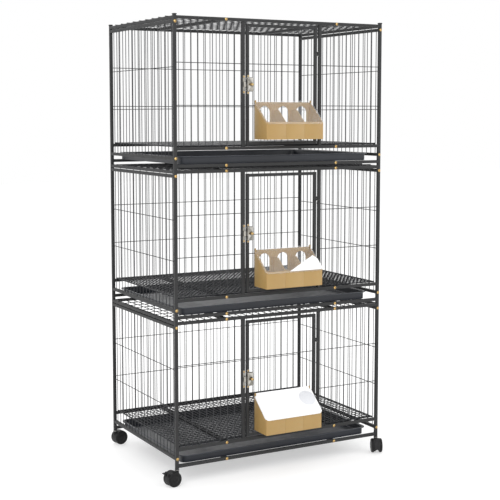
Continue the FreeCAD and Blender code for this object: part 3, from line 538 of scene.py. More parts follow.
def bars_and_wires(node, body, slot, welded=()):
    """A panel's tubes as one piece and its wires as another, with weld beads on tubes along a welded axis."""
    boxes = solids_of(node)
    tubes = [b for b in boxes if thickness(b) > THINNEST_TUBE]
    wires = [b for b in boxes if thickness(b) <= THINNEST_TUBE]
    if tubes:
        bm = bmesh.new()
        for low, high in tubes:
            axis = long_axis((low, high))
            bar(bm, low, high, axis)
            length = high[axis] - low[axis]
            if axis in welded and (axis != 2 or length < LONGEST_JAMB):
                for end in (low, high):
                    centre = (low + high) / 2
                    centre[axis] = end[axis]
                    bead(bm, centre, axis, thickness((low, high)) / 2)
        dress(mesh_object(bm, node + "_tubes"), COAT, body, (node,))
    if wires:
        wire_mesh(node + "_wires", wires, body, slot, node)


def door(tier):
    """The door's frame, its wires and its two hinge knuckles."""
    node, body = f"{tier}_door", f"{tier}_door_leaf"
    boxes = solids_of(node)
    frames = [b for b in boxes if thickness(b) > THINNEST_TUBE and max(b[1] - b[0]) > 50 * MM]
    low = Vector([min(b[0][i] for b in frames) for i in range(3)])
    high = Vector([max(b[1][i] for b in frames) for i in range(3)])
    side = high.y - low.y
    bm = bmesh.new()
    for x in (low.x, high.x - side):
        bar(bm, Vector((x, low.y, low.z)), Vector((x + side, high.y, high.z)), 2)
    for z in (low.z, high.z - side):
        bar(bm, Vector((low.x + side, low.y, z)), Vector((high.x - side, high.y, z + side)), 0)
        for x in (low.x + side, high.x - side):
            bead(bm, Vector((x, (low.y + high.y) / 2, z + side / 2)), 0, side / 2, 0.7 * MM)
    for b in boxes:
        if max(b[1] - b[0]) < 15 * MM:
            knuckle(bm, tier, b)
    dress(mesh_object(bm, f"{tier}_door_frame"), COAT, body, (node,))
    wires = [b for b in boxes if thickness(b) < 3 * MM and max(b[1] - b[0]) > 50 * MM]
    wire_mesh(f"{tier}_door_wires", wires, body, "frame_coat", node)


def knuckle(bm, tier, box):
    """A rolled hinge knuckle and its leaf."""
    axis = Vector(JOINTS[f"{tier}_door_hinge"]["pos_m"])
    low, high = box
    radius = 3.4 * MM
    ease = 0.5 * MM
    foot = Vector((axis.x, axis.y, low.z))
    tall = high.z - low.z
    profile = [(radius - ease, 0), (radius, ease), (radius, tall - ease), (radius - ease, tall)]
    lathe(bm, profile, Matrix.Translation(foot), 24)
    block(bm, (low.x + ease, axis.y + ease, low.z + ease), (high.x - ease / 2, high.y, high.z - ease), 0)


def jamb_knuckles():
    bm = bmesh.new()
    for box in solids_of("jamb_knuckles"):
        knuckle(bm, "lower", box)
    dress(mesh_object(bm, "jamb_hinge_knuckles"), COAT, "frame", ("jamb_knuckles",))
    bm = bmesh.new()
    for low, high in solids_of("hinge_pins"):
        middle = (low + high) / 2
        tall = high.z - low.z
        foot_r, pin_r = (high.x - low.x) / 2, 1.5 * MM
        profile = [
            (foot_r * 0.5, 0), (foot_r * 0.85, 0.15 * MM), (foot_r, 0.6 * MM), (foot_r, 1.2 * MM),
            (pin_r, 1.2 * MM), (pin_r, tall - 0.5 * MM), (pin_r * 0.7, tall - 0.1 * MM), (pin_r * 0.3, tall),
        ]
        lathe(bm, profile, Matrix.Translation(Vector((middle.x, middle.y, low.z))), 20)
    dress(mesh_object(bm, "door_hinge_pins"), ZINC, "frame", ("hinge_pins",))


# ---------------------------------------------------------------- fasteners and caps

def hexagon_reach(angle, flat):
    """Distance from the middle of a hexagon socket to its side, at an angle."""
    return flat / math.cos((angle + math.pi / 6) % (math.pi / 3) - math.pi / 6)


def socket_bolt(bm, place, radius, height, flat, sides=36):
    """A dome head with a hexagon socket, its underside at z = 0 of place."""
    turn = [2 * math.pi * i / sides for i in range(sides)]
    dome = (radius**2 + height**2) / (2 * height)
    rings = [[place @ Vector((radius * math.cos(t), radius * math.sin(t), h)) for t in turn]
             for h in (0, 0.25 * height)]
    for share in (0.96, 0.85, 0.7):
        r = radius * share
        h = math.sqrt(dome**2 - r**2) - (dome - height)
        floor = max(h, 0.26 * height)
        rings.append([place @ Vector((r * math.cos(t), r * math.sin(t), floor)) for t in turn])
    rim = math.sqrt(dome**2 - (flat * 1.1) ** 2) - (dome - height)
    for grow, h in ((1.12, rim), (1.0, rim - 0.2 * MM), (0.97, rim - 1.7 * MM)):
        ring = []
        for t in turn:
            reach = hexagon_reach(t, flat) * grow
            ring.append(place @ Vector((reach * math.cos(t), reach * math.sin(t), h)))
        rings.append(ring)
    skin(bm, rings)


def bolts():
    """Dome-head bolts on the front and the back of the frame."""
    boxes = solids_of("frame_bolts")
    centre = sum(((b[0].y + b[1].y) / 2 for b in boxes)) / len(boxes)
    bm = bmesh.new()
    for low, high in boxes:
        front = (low.y + high.y) / 2 < centre
        middle = (low + high) / 2
        radius = (high.x - low.x) / 2
        head = 3 * MM
        face = low.y + head if front else high.y - head
        spin = Matrix.Rotation(dice.uniform(0, math.pi), 4, "Z")
        outward = Matrix.Rotation(math.radians(90 if front else -90), 4, "X")
        place = Matrix.Translation(Vector((middle.x, face, middle.z))) @ outward @ spin
        socket_bolt(bm, place, radius, head, 1.55 * MM)
        shank = [(2.4 * MM, -20 * MM), (2.5 * MM, -19 * MM), (2.5 * MM, 0.2 * MM)]
        lathe(bm, shank, place, 16)
    dress(mesh_object(bm, "frame_bolt_heads"), YELLOW, "frame", ("frame_bolts",), smooth=35)


def post_caps():
    """Moulded caps in the tops of the posts, with a soft upper edge and a shallow dimple."""
    bm = bmesh.new()
    tall = 3 * MM
    for low, high in solids_of("post_caps"):
        middle = (low + high) / 2
        half = (high.x - low.x) / 2
        rings = []
        levels = ((0.3, -tall / MM), (0, -2.7), (0, -1.2), (0.3, -0.5), (0.9, -0.1),
                  (1.5, 0), (2.6, 0), (3.1, -0.3))
        for inset, z in levels:
            reach = half - inset * MM
            corner = min(1.6 * MM, reach * 0.6)
            outline = rounded_outline(-reach, -reach, reach, reach, corner, 4)
            rings.append([Vector((middle.x + x, middle.y + y, high.z + z * MM)) for x, y in outline])
        skin(bm, rings)
    dress(mesh_object(bm, "post_end_caps"), CAP, "frame", ("post_caps",))


# ---------------------------------------------------------------- tray

def tray(tier):
    """A thermoformed pan: rolled rim, nearly upright walls, soft corners and a raised floor panel."""
    node = f"{tier}_tray"
    low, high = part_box(node)
    tall = (high.z - low.z) / MM
    sheet, rim, corner = 2.4, 7.0, 27.0
    lean = math.tan(math.radians(2))
    foot = rim + (tall - sheet) * lean
    profile = [
        (60, 0.5), (foot + 16, 0.5), (foot + 14, 0), (foot + 1.0, 0), (foot + 0.3, 0.3), (foot + 0.1, 1.2),
        (rim + 0.6, tall - sheet - 1.6), (rim - 0.2, tall - sheet - 0.5), (rim - 1.2, tall - sheet),
        (1.2, tall - sheet - 0.2), (0.4, tall - sheet), (0, tall - sheet + 0.7), (0.05, tall - 0.9),
        (0.5, tall - 0.25), (1.3, tall), (rim - 0.4, tall), (rim + 1.0, tall - 0.4), (rim + 2.0, tall - 1.5),
        (rim + 2.7, tall - 3.0),
        (foot + 1.6, sheet + 3.2), (foot + 2.6, sheet + 1.0), (foot + 4.6, sheet),
        (foot + 14, sheet), (foot + 15.2, sheet + 0.5), (foot + 17, sheet + 0.9), (60, sheet + 0.9),
    ]
    rings = []
    for inset, z in profile:
        radius = max(corner - inset, 6.0) * MM
        step = inset * MM
        outline = rounded_outline(low.x + step, low.y + step, high.x - step, high.y - step, radius, 10)
        rings.append([Vector((x, y, low.z + z * MM)) for x, y in outline])
    bm = bmesh.new()
    skin(bm, rings)
    dress(mesh_object(bm, f"{tier}_tray_pan_sheet"), TRAY, f"{tier}_tray_pan", (node,),
          smooth=50)


# ---------------------------------------------------------------- feeder and lid

FEEDER_X, FEEDER_Z, FEEDER_GAP = 279.7, 90.0, 0.5
FEEDER_W, FEEDER_D = 206.8, 79.5
FEEDER_FRONT, FEEDER_BACK = 53.0, 117.0
FEEDER_WALL = 2.5
BAY = (FEEDER_W - 4 * FEEDER_WALL) / 3
DIVIDER_TOP = 92.0
ARCH_W, ARCH_LOW, ARCH_SIDE = 40.0, 48.0, 37.0
HOOK_MIDDLES = (293.5, 468.5)
HOOK_LOW, HOOK_REACH, HOOK_W = 107.3, 10.85, 5.0
LID_AXIS_Y, LID_AXIS_Z = 4.2, 209.7
SLOPE = math.atan2(FEEDER_BACK - FEEDER_FRONT, FEEDER_D - FEEDER_WALL)


def arch_outline(left, low, width, side, steps=16):
    """An opening with straight sides and a half-round top, as (x, z) pairs."""
    r = width / 2
    points = [(left, low), (left + width, low), (left + width, low + side)]
    for i in range(1, steps):
        a = math.pi * i / steps
        points.append((left + r + r * math.cos(a), low + side + r * math.sin(a)))
    return points + [(left, low + side)]


def feeder(tier):
    """A three-bay trough with soft edges, arches in its back wall, mould seams and two hooks."""
    origin = tier_point(tier, FEEDER_X, -FEEDER_GAP - FEEDER_D, FEEDER_Z)
    here = Matrix.Translation(origin) @ Matrix.Scale(MM, 4)
    along_x = here @ ALONG_X
    bm = bmesh.new()
    outline = [(0, 0), (FEEDER_D, 0), (FEEDER_D, FEEDER_BACK), (FEEDER_D - FEEDER_WALL, FEEDER_BACK),
               (0, FEEDER_FRONT)]
    prism(bm, outline, 0, FEEDER_W, along_x)
    body = mesh_object(bm, f"{tier}_feeder_shell")
    round_edges(body, 1.1 * MM, 3, 20)
    flatten(body)
    cutters = []
    for i in range(3):
        left = FEEDER_WALL + i * (BAY + FEEDER_WALL)
        bm = bmesh.new()
        far = (left + BAY, FEEDER_D - FEEDER_WALL, FEEDER_BACK + 9)
        block(bm, (left, FEEDER_WALL, FEEDER_WALL), far, 0, here)
        cutter = mesh_object(bm, "bay")
        round_edges(cutter, 2.0 * MM, 3, 20)
        cutters.append(cutter)
        bm = bmesh.new()
        arch = arch_outline(left + (BAY - ARCH_W) / 2, ARCH_LOW, ARCH_W, ARCH_SIDE)
        prism(bm, arch, FEEDER_D - 2 * FEEDER_WALL, FEEDER_D + 3, here @ SIDE_VIEW)
        cutters.append(mesh_object(bm, "arch"))
    bm = bmesh.new()
    trim = [(FEEDER_WALL + 0.5, DIVIDER_TOP), (FEEDER_D - FEEDER_WALL, DIVIDER_TOP),
            (FEEDER_D - FEEDER_WALL, FEEDER_BACK + 9), (FEEDER_WALL + 0.5, FEEDER_BACK + 9)]
    prism(bm, trim, FEEDER_WALL, FEEDER_W - FEEDER_WALL, along_x)
    cutters.append(mesh_object(bm, "divider_trim"))
    for i in (1, 2):
        seam = i * (BAY + FEEDER_WALL) + FEEDER_WALL / 2
        bm = bmesh.new()
        block(bm, (seam - 0.4, -1, -1), (seam + 0.4, 0.45, FEEDER_FRONT + 3), 0, here)
        cutters.append(mesh_object(bm, "seam"))
    carve(body, cutters)
    round_edges(body, 0.35 * MM, 2, 50)
    flatten(body)

    bm = bmesh.new()
    for middle in HOOK_MIDDLES:
        x = middle - FEEDER_X - HOOK_W / 2
        tip = FEEDER_D + HOOK_REACH
        hook = [(FEEDER_D - 1, HOOK_LOW), (FEEDER_D - 1, HOOK_LOW + 3), (tip - 1, HOOK_LOW + 3),
                (tip, HOOK_LOW + 2), (tip, HOOK_LOW - 7), (tip - 1.6, HOOK_LOW - 7), (tip - 1.6, HOOK_LOW)]
        prism(bm, hook, x, x + HOOK_W, along_x)
    ear_y, ear_z, ear_r = FEEDER_D + FEEDER_GAP - LID_AXIS_Y, LID_AXIS_Z - FEEDER_Z, 3.6
    ear = [(ear_y - ear_r, ear_z - 2 * ear_r), (ear_y + ear_r, ear_z - 2 * ear_r)]
    ear += [(ear_y + ear_r * math.cos(a), ear_z + ear_r * math.sin(a)) for a in np.linspace(0, math.pi, 13)]
    for x in (0, FEEDER_W - FEEDER_WALL):
        prism(bm, ear, x, x + FEEDER_WALL, along_x)
    trim_piece = mesh_object(bm, f"{tier}_feeder_hooks")
    round_edges(trim_piece, 0.5 * MM, 2)
    for obj in (body, trim_piece):
        dress(obj, TAN, f"{tier}_feeder", (f"{tier}_feeder_box",))


LID_SHEET, LID_OVER, LID_CORNER, LID_LIFT = 2.0, 2.5, 12.0, 0.4
LID_BACK = 8.6
LID_LENGTH = math.hypot(FEEDER_BACK - FEEDER_FRONT, FEEDER_D - FEEDER_WALL) + 5
LID_LOW = LID_LIFT - (
    (LID_AXIS_Y - FEEDER_GAP - FEEDER_WALL) * math.sin(SLOPE)
    + (LID_AXIS_Z - FEEDER_Z - FEEDER_BACK) * math.cos(SLOPE)
)


def lid_outline(inset=0.0, steps=8):
    """The lid's outline from its back left corner, anticlockwise from above, as (x, y) pairs."""
    x0, x1 = -LID_OVER + inset, FEEDER_W + LID_OVER - inset
    y0 = -LID_LENGTH + inset
    r = LID_CORNER - inset
    points = [(x0, -LID_BACK)]
    for cx, start in ((x0 + r, 180), (x1 - r, 270)):
        for i in range(steps + 1):
            a = math.radians(start + 90 * i / steps)
            points.append((cx + r * math.cos(a), y0 + r + r * math.sin(a)))
    return points + [(x1, -LID_BACK)]


def lid(tier):
    """A moulded lid: a sheet, a lip turned down round its free edges, and a barrel on its hinge line."""
    body = f"{tier}_feeder_cover"
    origin = tier_point(tier, FEEDER_X, -LID_AXIS_Y, LID_AXIS_Z)
    here = Matrix.Translation(origin) @ Matrix.Rotation(SLOPE, 4, "X") @ Matrix.Scale(MM, 4)
    material = FILM if tier == "lower" else CLEAR
    bm = bmesh.new()
    top = LID_LOW + LID_SHEET
    levels = ((0.5, LID_LOW), (0, LID_LOW + 0.4), (0, top - 0.7), (0.25, top - 0.2), (0.8, top))
    skin(bm, [[here @ Vector((x, y, z)) for x, y in lid_outline(inset)] for inset, z in levels])
    lip = lid_outline(0.1) + list(reversed(lid_outline(1.5)))
    prism(bm, lip, LID_LOW - 3.2, LID_LOW + 0.3, here)
    strip = 2.9
    block(bm, (strip, -LID_BACK - 0.5, LID_LOW), (FEEDER_W - strip, -0.6, top), 0, here)
    along = here @ Matrix.Translation((strip, 0, 0)) @ ALONG_X
    width = FEEDER_W - 2 * strip
    lathe(bm, [(1.9, 0), (2.4, 0.5), (2.4, width - 0.5), (1.9, width)], along, 24)
    pins = here @ ALONG_X
    lathe(bm, [(1.0, 0), (1.4, 0.3), (1.4, FEEDER_W - 0.3), (1.0, FEEDER_W)], pins, 20)
    dress(mesh_object(bm, f"{tier}_lid_panel"), material, body, (f"{tier}_feeder_lid",), smooth=35)
    if tier == "middle":
        bm = bmesh.new()
        reach = LID_LENGTH - LID_BACK
        film = [(FEEDER_W * 0.40, -LID_LENGTH + 1.2), (FEEDER_W - 6, -LID_LENGTH + 1.2),
                (FEEDER_W + 0.8, -LID_LENGTH + 7), (FEEDER_W + 1.2, -LID_LENGTH + reach * 0.50),
                (FEEDER_W * 0.95, -LID_LENGTH + reach * 0.66)]
        prism(bm, film, top + 0.05, top + 0.25, here)
        dress(mesh_object(bm, "middle_lid_film"), FILM, body)
    if tier == "lower":
        bm = bmesh.new()
        place = here @ Matrix.Translation((FEEDER_W - 28, -LID_BACK - 33, top))
        lathe(bm, [(28.9, 0.0), (29, 0.08), (28.8, 0.16)], place, 72)
        dress(mesh_object(bm, "lower_lid_disc"), DISC, body)


# ---------------------------------------------------------------- latch

LATCH_X, LATCH_Z, LATCH_W, LATCH_H, LATCH_D = 250.5, 262.0, 21.0, 44.0, 10.0
PLATE_FRONT, PLATE_THICK, PLATE_TALL, PLATE_LONG = 5.2, 3.6, 12.0, 18.0
NECK_X, NECK_R, KNOB_R, KNOB_FRONT = 14.5, 2.2, 4.2, 16.0
KEEPER_X, KEEPER_W, KEEPER_H, STRAP_H, STRAP_REACH, PRESSED = 238.0, 7.4, 58.0, 18.0, 7.4, 1.2
SCREW_DROP = 24.0
LATCH_TRAVEL, SLOT_PLAY = 9.0, 0.4


def pan_screw(bm, place, radius, height):
    """A pan head with a cross recess, its underside at z = 0 of place."""
    sides = 32
    turn = [2 * math.pi * i / sides for i in range(sides)]
    rings = []
    for share, h in ((1, 0), (1, 0.35), (0.94, 0.62), (0.8, 0.84), (0.62, 0.95)):
        rings.append([place @ Vector((radius * share * math.cos(t), radius * share * math.sin(t), height * h))
                      for t in turn])
    for grow, h in ((1.0, 0.98), (0.86, 0.45)):
        ring = []
        for t in turn:
            cross = 0.2 + 0.34 * abs(math.cos(2 * t)) ** 3
            reach = radius * cross * grow
            ring.append(place @ Vector((reach * math.cos(t), reach * math.sin(t), height * h)))
        rings.append(ring)
    skin(bm, rings)


def facing_front(origin):
    """A place in millimetres whose z axis points out of the cage's front, x to the right and y up."""
    return Matrix.Translation(origin) @ Matrix.Rotation(math.radians(90), 4, "X") @ Matrix.Scale(MM, 4)


def latch(tier):
    """A pressed case with screwed tabs and a slot, and the bolt with its turned knob."""
    here = facing_front(tier_point(tier, LATCH_X, 0, LATCH_Z))
    half = LATCH_H / 2
    bm = bmesh.new()
    levels = ((0, 0.15), (0, LATCH_D - 2.0), (0.5, LATCH_D - 0.8), (1.3, LATCH_D - 0.15), (2.4, LATCH_D))
    rings = []
    for inset, z in levels:
        outline = rounded_outline(inset, -half + inset, LATCH_W - inset, half - inset, 3.4 - inset, 5)
        rings.append([here @ Vector((x, y, z)) for x, y in outline])
    skin(bm, rings)
    case = mesh_object(bm, f"{tier}_latch_cover")
    cutters = []
    reach = NECK_R + SLOT_PLAY
    bm = bmesh.new()
    block(bm, (NECK_X - LATCH_TRAVEL - reach, -reach, 3), (NECK_X + reach, reach, 14), 2.5, here)
    cutters.append(mesh_object(bm, "slot"))
    bm = bmesh.new()
    block(bm, (-2, -PLATE_TALL / 2 - 0.4, PLATE_FRONT - PLATE_THICK - 0.4),
          (LATCH_W - 1.6, PLATE_TALL / 2 + 0.4, PLATE_FRONT + 0.4), 0, here)
    cutters.append(mesh_object(bm, "mouth"))
    carve(case, cutters)
    round_edges(case, 0.25 * MM, 2, 50)
    flatten(case)
    dress(case, ZINC, f"{tier}_door_leaf", (f"{tier}_latch_case",))

    bm = bmesh.new()
    for side in (-1, 1):
        a, b = sorted((side * (half - 3), side * (half + 8)))
        block(bm, (2.2, a, 0.1), (10.6, b, 1.3), 2.6, here)
    tabs = mesh_object(bm, f"{tier}_latch_tabs")
    round_edges(tabs, 0.3 * MM, 2)
    dress(tabs, ZINC, f"{tier}_door_leaf", (f"{tier}_latch_case",))
    bm = bmesh.new()
    for side in (-1, 1):
        pan_screw(bm, here @ Matrix.Translation((6.4, side * (half + 4.2), 1.3)), 2.7, 1.7)
    dress(mesh_object(bm, f"{tier}_latch_tab_screws"), YELLOW, f"{tier}_door_leaf")

    bm = bmesh.new()
    plate_back = PLATE_FRONT - PLATE_THICK
    block(bm, (0, -PLATE_TALL / 2, plate_back), (PLATE_LONG, PLATE_TALL / 2, PLATE_FRONT), 1.6, here)
    plate = mesh_object(bm, f"{tier}_latch_bolt_plate")
    round_edges(plate, 0.5 * MM, 2)
    dress(plate, ZINC, f"{tier}_latch_slider", (f"{tier}_latch_bolt",))
    bm = bmesh.new()
    face = KNOB_FRONT
    profile = [(NECK_R, PLATE_FRONT - 1), (NECK_R, face - 4.2), (KNOB_R - 0.9, face - 4),
               (KNOB_R, face - 3.2), (KNOB_R, face - 2.6), (KNOB_R - 0.35, face - 2.3),
               (KNOB_R - 0.35, face - 1.9), (KNOB_R, face - 1.6), (KNOB_R - 0.2, face - 0.7),
               (KNOB_R - 1.0, face - 0.15), (1.6, face), (0.6, face - 0.15)]
    lathe(bm, profile, here @ Matrix.Translation((NECK_X, 0, 0)), 36)
    dress(mesh_object(bm, f"{tier}_latch_knob"), YELLOW, f"{tier}_latch_slider",
          (f"{tier}_latch_bolt",), smooth=45)


def keepers():
    """The keeper plates with their bent straps and cross-head screws."""
    plates, screws = bmesh.new(), bmesh.new()
    for tier in TIERS:
        here = facing_front(tier_point(tier, KEEPER_X, 0, LATCH_Z))
        block(plates, (0, -KEEPER_H / 2, 0.02), (KEEPER_W, KEEPER_H / 2, PRESSED), 2.4, here)
        s, r, t = STRAP_H / 2, STRAP_REACH, PRESSED
        strap = [(-s, 0.6), (-s, r - 2), (-s + 0.6, r - 0.6), (-s + 2, r), (s - 2, r), (s - 0.6, r - 0.6),
                 (s, r - 2), (s, 0.6), (s - t, 0.6), (s - t, r - 2.2), (s - t - 0.4, r - t - 0.4),
                 (s - 2.2, r - t), (-s + 2.2, r - t), (-s + t + 0.4, r - t - 0.4),
                 (-s + t, r - 2.2), (-s + t, 0.6)]
        prism(plates, strap, 0.02, KEEPER_W - 0.02, here @ ALONG_X)
        for drop in (-SCREW_DROP, SCREW_DROP):
            pan_screw(screws, here @ Matrix.Translation((KEEPER_W / 2, drop, PRESSED)), 3.0, 2.6)
    made = mesh_object(plates, "keeper_plates")
    round_edges(made, 0.25 * MM, 2)
    dress(made, ZINC, "frame", ("latch_keepers",))
    dress(mesh_object(screws, "keeper_screw_heads"), YELLOW, "frame", ("keeper_screws",))


# ---------------------------------------------------------------- casters

WHEEL_R, WHEEL_W, WHEEL_INNER, TRAIL = 24.0, 11.0, 9.5, 17.0
HOOD_R, HOOD_HALF, HOOD_LOW, TUNNEL_R = 24.4, 9.0, 7.0, 6.0
BOSS_R, BOSS_TOP, BOSS_TALL = 6.5, 46.5, 16.5
COLLAR_LOW, COLLAR_TOP, COLLAR_R, SPINDLE_R = 47.0, 50.0, 7.5, 3.0
PEDAL_X, PEDAL_LONG, PEDAL_WIDE, PEDAL_Z, PEDAL_THICK, PEDAL_PIN_X = 35.5, 17.5, 10.0, 46.0, 3.0, 37.0
LUG_LOW, LUG_TOP, LUG_X, LUG_LONG, LUG_THICK = 34.0, 49.0, 34.5, 6.0, 2.0


def caster_place(corner):
    """A place in millimetres with the swivel axis on z, the axle trailing along x and the floor at z = 0."""
    swivel = Vector(JOINTS[f"{corner}_swivel"]["pos_m"])
    axle = Vector(JOINTS[f"{corner}_roll"]["pos_m"])
    turn = math.atan2(axle.y - swivel.y, axle.x - swivel.x)
    return Matrix.Translation((swivel.x, swivel.y, 0)) @ Matrix.Rotation(turn, 4, "Z") @ Matrix.Scale(MM, 4)


def wheels(corner, here):
    """Twin wheels: round shoulders, a fine ring groove and a slightly domed face with a small hub."""
    bm = bmesh.new()
    r, i = WHEEL_R, WHEEL_INNER
    profile = [
        (3.1, i), (r - 1.2, i), (r - 0.35, i + 0.35), (r, i + 1.1), (r, i + 5), (r - 0.25, i + 6.3),
        (r - 0.8, i + 7.5), (r - 1.6, i + 8.3), (r - 2.5, i + 8.8), (r - 2.9, i + 8.95), (r - 3.2, i + 8.5),
        (r - 3.7, i + 8.6), (r - 4.0, i + 9.2), (r - 6, i + 9.6), (r - 9, i + 9.5), (10.5, i + 9.7),
        (8.8, i + 10.1), (8.0, i + 10.8), (7.2, i + 10.9), (4.6, i + 10.8), (4.2, i + 10.4), (3.7, i + 10.4),
        (3.3, i + 10.8), (1.2, i + WHEEL_W - 0.1),
    ]
    for side in (1, -1):
        turn = Matrix.Rotation(math.radians(-90 * side), 4, "X")
        lathe(bm, profile, here @ Matrix.Translation((TRAIL, 0, WHEEL_R)) @ turn, 64)
    dress(mesh_object(bm, f"{corner}_twin_wheels"), TREAD, f"{corner}_wheels",
          (f"{corner}_caster_wheels",), smooth=38)


def hood_outline(steps=44):
    """The hood seen from the side, as (x, z) pairs: round over the wheels and level at its foot."""
    foot = math.asin((HOOD_LOW - WHEEL_R) / HOOD_R)
    sweep = math.pi - 2 * foot
    angles = [foot + sweep * i / steps for i in range(steps + 1)]
    return [(TRAIL + HOOD_R * math.cos(a), WHEEL_R + HOOD_R * math.sin(a)) for a in angles]


def housing(corner, here, braked):
    """The hood between the wheels with an arch through its foot, the swivel boss and the axle."""
    side = here @ SIDE_VIEW
    bm = bmesh.new()
    prism(bm, hood_outline(), -HOOD_HALF, HOOD_HALF, side)
    hood = mesh_object(bm, f"{corner}_hood")
    bm = bmesh.new()
    behind = Matrix.Translation((TRAIL - 2 * HOOD_R, 0, HOOD_LOW))
    along = here @ behind @ Matrix.Rotation(math.radians(90), 4, "Y")
    lathe(bm, [(TUNNEL_R, 0), (TUNNEL_R, 4 * HOOD_R)], along, 40)
    carve(hood, [mesh_object(bm, f"{corner}_tunnel")])
    round_edges(hood, 0.7 * MM, 3, 30)
    dress(hood, HOOD_NYLON, f"{corner}_caster", (f"{corner}_caster_housing",))

    bm = bmesh.new()
    low = BOSS_TOP - BOSS_TALL
    boss = [(BOSS_R - 1, low), (BOSS_R - 0.2, low + 0.3), (BOSS_R, low + 1), (BOSS_R, BOSS_TOP - 4.4),
            (BOSS_R - 0.4, BOSS_TOP - 4.1), (BOSS_R - 0.4, BOSS_TOP - 3.5), (BOSS_R, BOSS_TOP - 3.2),
            (BOSS_R, BOSS_TOP - 0.8), (BOSS_R - 0.8, BOSS_TOP), (SPINDLE_R + 0.2, BOSS_TOP)]
    lathe(bm, boss, here, 48)
    for s in (1, -1):
        turn = Matrix.Rotation(math.radians(-90 * s), 4, "X")
        axle = [(SPINDLE_R, HOOD_HALF - 2), (SPINDLE_R, WHEEL_INNER - 0.1)]
        lathe(bm, axle, here @ Matrix.Translation((TRAIL, 0, WHEEL_R)) @ turn, 24)
    if braked:
        inner = PEDAL_WIDE / 2 + 0.4
        for y in (inner, -inner - LUG_THICK):
            lug = rounded_outline(LUG_X, LUG_LOW, LUG_X + LUG_LONG, LUG_TOP, 2.0, 5)
            prism(bm, lug, y, y + LUG_THICK, side)
        turn = Matrix.Rotation(math.radians(-90), 4, "X")
        pin = here @ Matrix.Translation((PEDAL_PIN_X, -inner - 2.3, PEDAL_Z)) @ turn
        ends = 2 * inner + 4.6
        profile = [(1.3, 0), (1.5, 0.4), (1.0, 0.5), (1.0, ends - 0.5), (1.5, ends - 0.4), (1.3, ends)]
        lathe(bm, profile, pin, 20)
    dress(mesh_object(bm, f"{corner}_swivel_boss"), NYLON, f"{corner}_caster",
          (f"{corner}_caster_housing",))


def pedal(corner, here):
    """The brake pedal, with grip ribs across its foot end."""
    side = here @ SIDE_VIEW
    half = PEDAL_WIDE / 2
    low, high = PEDAL_Z - PEDAL_THICK / 2, PEDAL_Z + PEDAL_THICK / 2
    x0, x1 = PEDAL_X, PEDAL_X + PEDAL_LONG
    outline = [(x0, low + 0.6), (x0 + 0.6, low), (x1 - 2, low), (x1, low + 1), (x1, high - 0.6),
               (x1 - 0.8, high), (x0 + 1, high), (x0, high - 0.8)]
    bm = bmesh.new()
    prism(bm, outline, -half, half, side)
    plate = mesh_object(bm, f"{corner}_brake_pedal")
    round_edges(plate, 0.4 * MM, 2, 30)
    dress(plate, NYLON, f"{corner}_brake", (f"{corner}_brake_lever",))
    bm = bmesh.new()
    for i in range(5):
        x = x1 - 2.2 - 1.9 * i
        rib = [(x - 0.5, high - 0.1), (x + 0.5, high - 0.1), (x + 0.25, high + 0.6), (x - 0.25, high + 0.6)]
        prism(bm, rib, -half + 1, half - 1, side)
    dress(mesh_object(bm, f"{corner}_pedal_ribs"), NYLON, f"{corner}_brake",
          (f"{corner}_brake_lever",))


def stems():
    """The casters' steel stems: a round collar under each post and the spindle below it."""
    bm = bmesh.new()
    for corner in CORNERS:
        here = caster_place(corner)
        r, low, top = COLLAR_R, COLLAR_LOW, COLLAR_TOP
        lathe(bm, [(r - 1.1, low), (r - 0.1, low + 0.6), (r, low + 0.9), (r, top - 0.9), (r - 0.7, top - 0.1),
                   (r - 2.5, top)], here, 48)
        lathe(bm, [(SPINDLE_R, BOSS_TOP + 0.05), (SPINDLE_R, low + 0.5)], here, 24)
    dress(mesh_object(bm, "caster_stem_collars"), STEEL, "frame", ("caster_stems",))


# ---------------------------------------------------------------- build

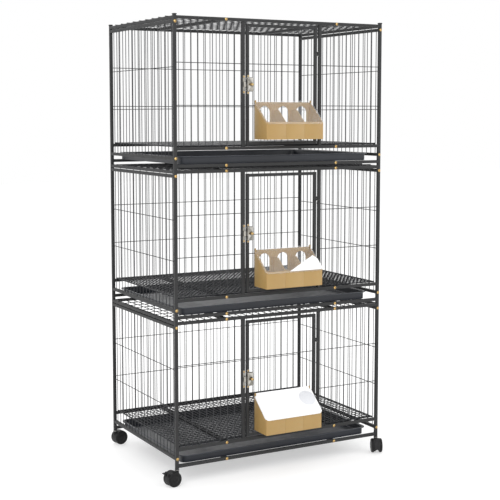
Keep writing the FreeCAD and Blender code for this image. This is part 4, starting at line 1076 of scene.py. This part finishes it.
X_RAILS_AND_JAMBS = (0, 2)
for tier in TIERS:
    for side in ("front", "back"):
        bars_and_wires(f"{tier}_{side}_panel", "frame", "frame_coat", X_RAILS_AND_JAMBS)
    for name in ("left_panel", "right_panel", "roof_panel", "cross_bars"):
        bars_and_wires(f"{tier}_{name}", "frame", "frame_coat")
    bars_and_wires(f"{tier}_floor_grate", "frame", "grate_coat")
    door(tier)
    tray(tier)
    feeder(tier)
    lid(tier)
    latch(tier)
jamb_knuckles()
bolts()
post_caps()
keepers()
stems()
for corner in CORNERS:
    here = caster_place(corner)
    wheels(corner, here)
    braked = f"{corner}_brake_lever" in frame["nodes"]
    housing(corner, here, braked)
    if braked:
        pedal(corner, here)
for node in ("rail_inserts", "post_dowels"):
    obj = frame["nodes"][node]
    obj.data.materials.clear()
    obj.data.materials.append(STEEL)


# ---------------------------------------------------------------- studio

def studio():
    bpy.ops.mesh.primitive_plane_add(size=30, location=(0, 0, 0))
    floor = bpy.context.object
    floor.name = "studio_floor"
    floor.data.materials.append(studio_floor())
    world = bpy.data.worlds.new("studio")
    bpy.context.scene.world = world
    world.use_nodes = True
    background = world.node_tree.nodes["Background"]
    background.inputs["Color"].default_value = (1.0, 1.0, 1.0, 1)
    background.inputs["Strength"].default_value = 1.0
    lights = (
        ("key", (-2.6, -2.6, 3.0), 2.6, 70),
        ("fill", (3.0, -2.2, 1.8), 2.4, 35),
        ("back", (0.6, 3.2, 2.6), 2.6, 45),
    )
    for name, place, size, watts in lights:
        data = bpy.data.lights.new(name, "AREA")
        data.shape = "SQUARE"
        data.size = size
        data.energy = watts
        lamp = bpy.data.objects.new(name, data)
        lamp.location = place
        aim = Vector((0, 0, 0.7)) - Vector(place)
        lamp.rotation_euler = aim.to_track_quat("-Z", "Y").to_euler()
        bpy.context.scene.collection.objects.link(lamp)
    bpy.context.scene.view_settings.view_transform = "Standard"


def camera():
    """Stands to the left of the front, a little under the roof's height, and looks slightly down."""
    yaw, pitch = math.radians(28.991), math.radians(5.304)
    data = bpy.data.cameras.new("camera")
    data.lens = 81.73
    data.sensor_width = 36
    data.shift_y = -0.06
    eye = bpy.data.objects.new("camera", data)
    eye.location = (-1.8438, -3.3808, 1.1577)
    ahead = Vector((math.sin(yaw) * math.cos(pitch), math.cos(yaw) * math.cos(pitch), -math.sin(pitch)))
    eye.rotation_euler = ahead.to_track_quat("-Z", "Y").to_euler()
    bpy.context.scene.collection.objects.link(eye)
    bpy.context.scene.camera = eye


studio()
camera()
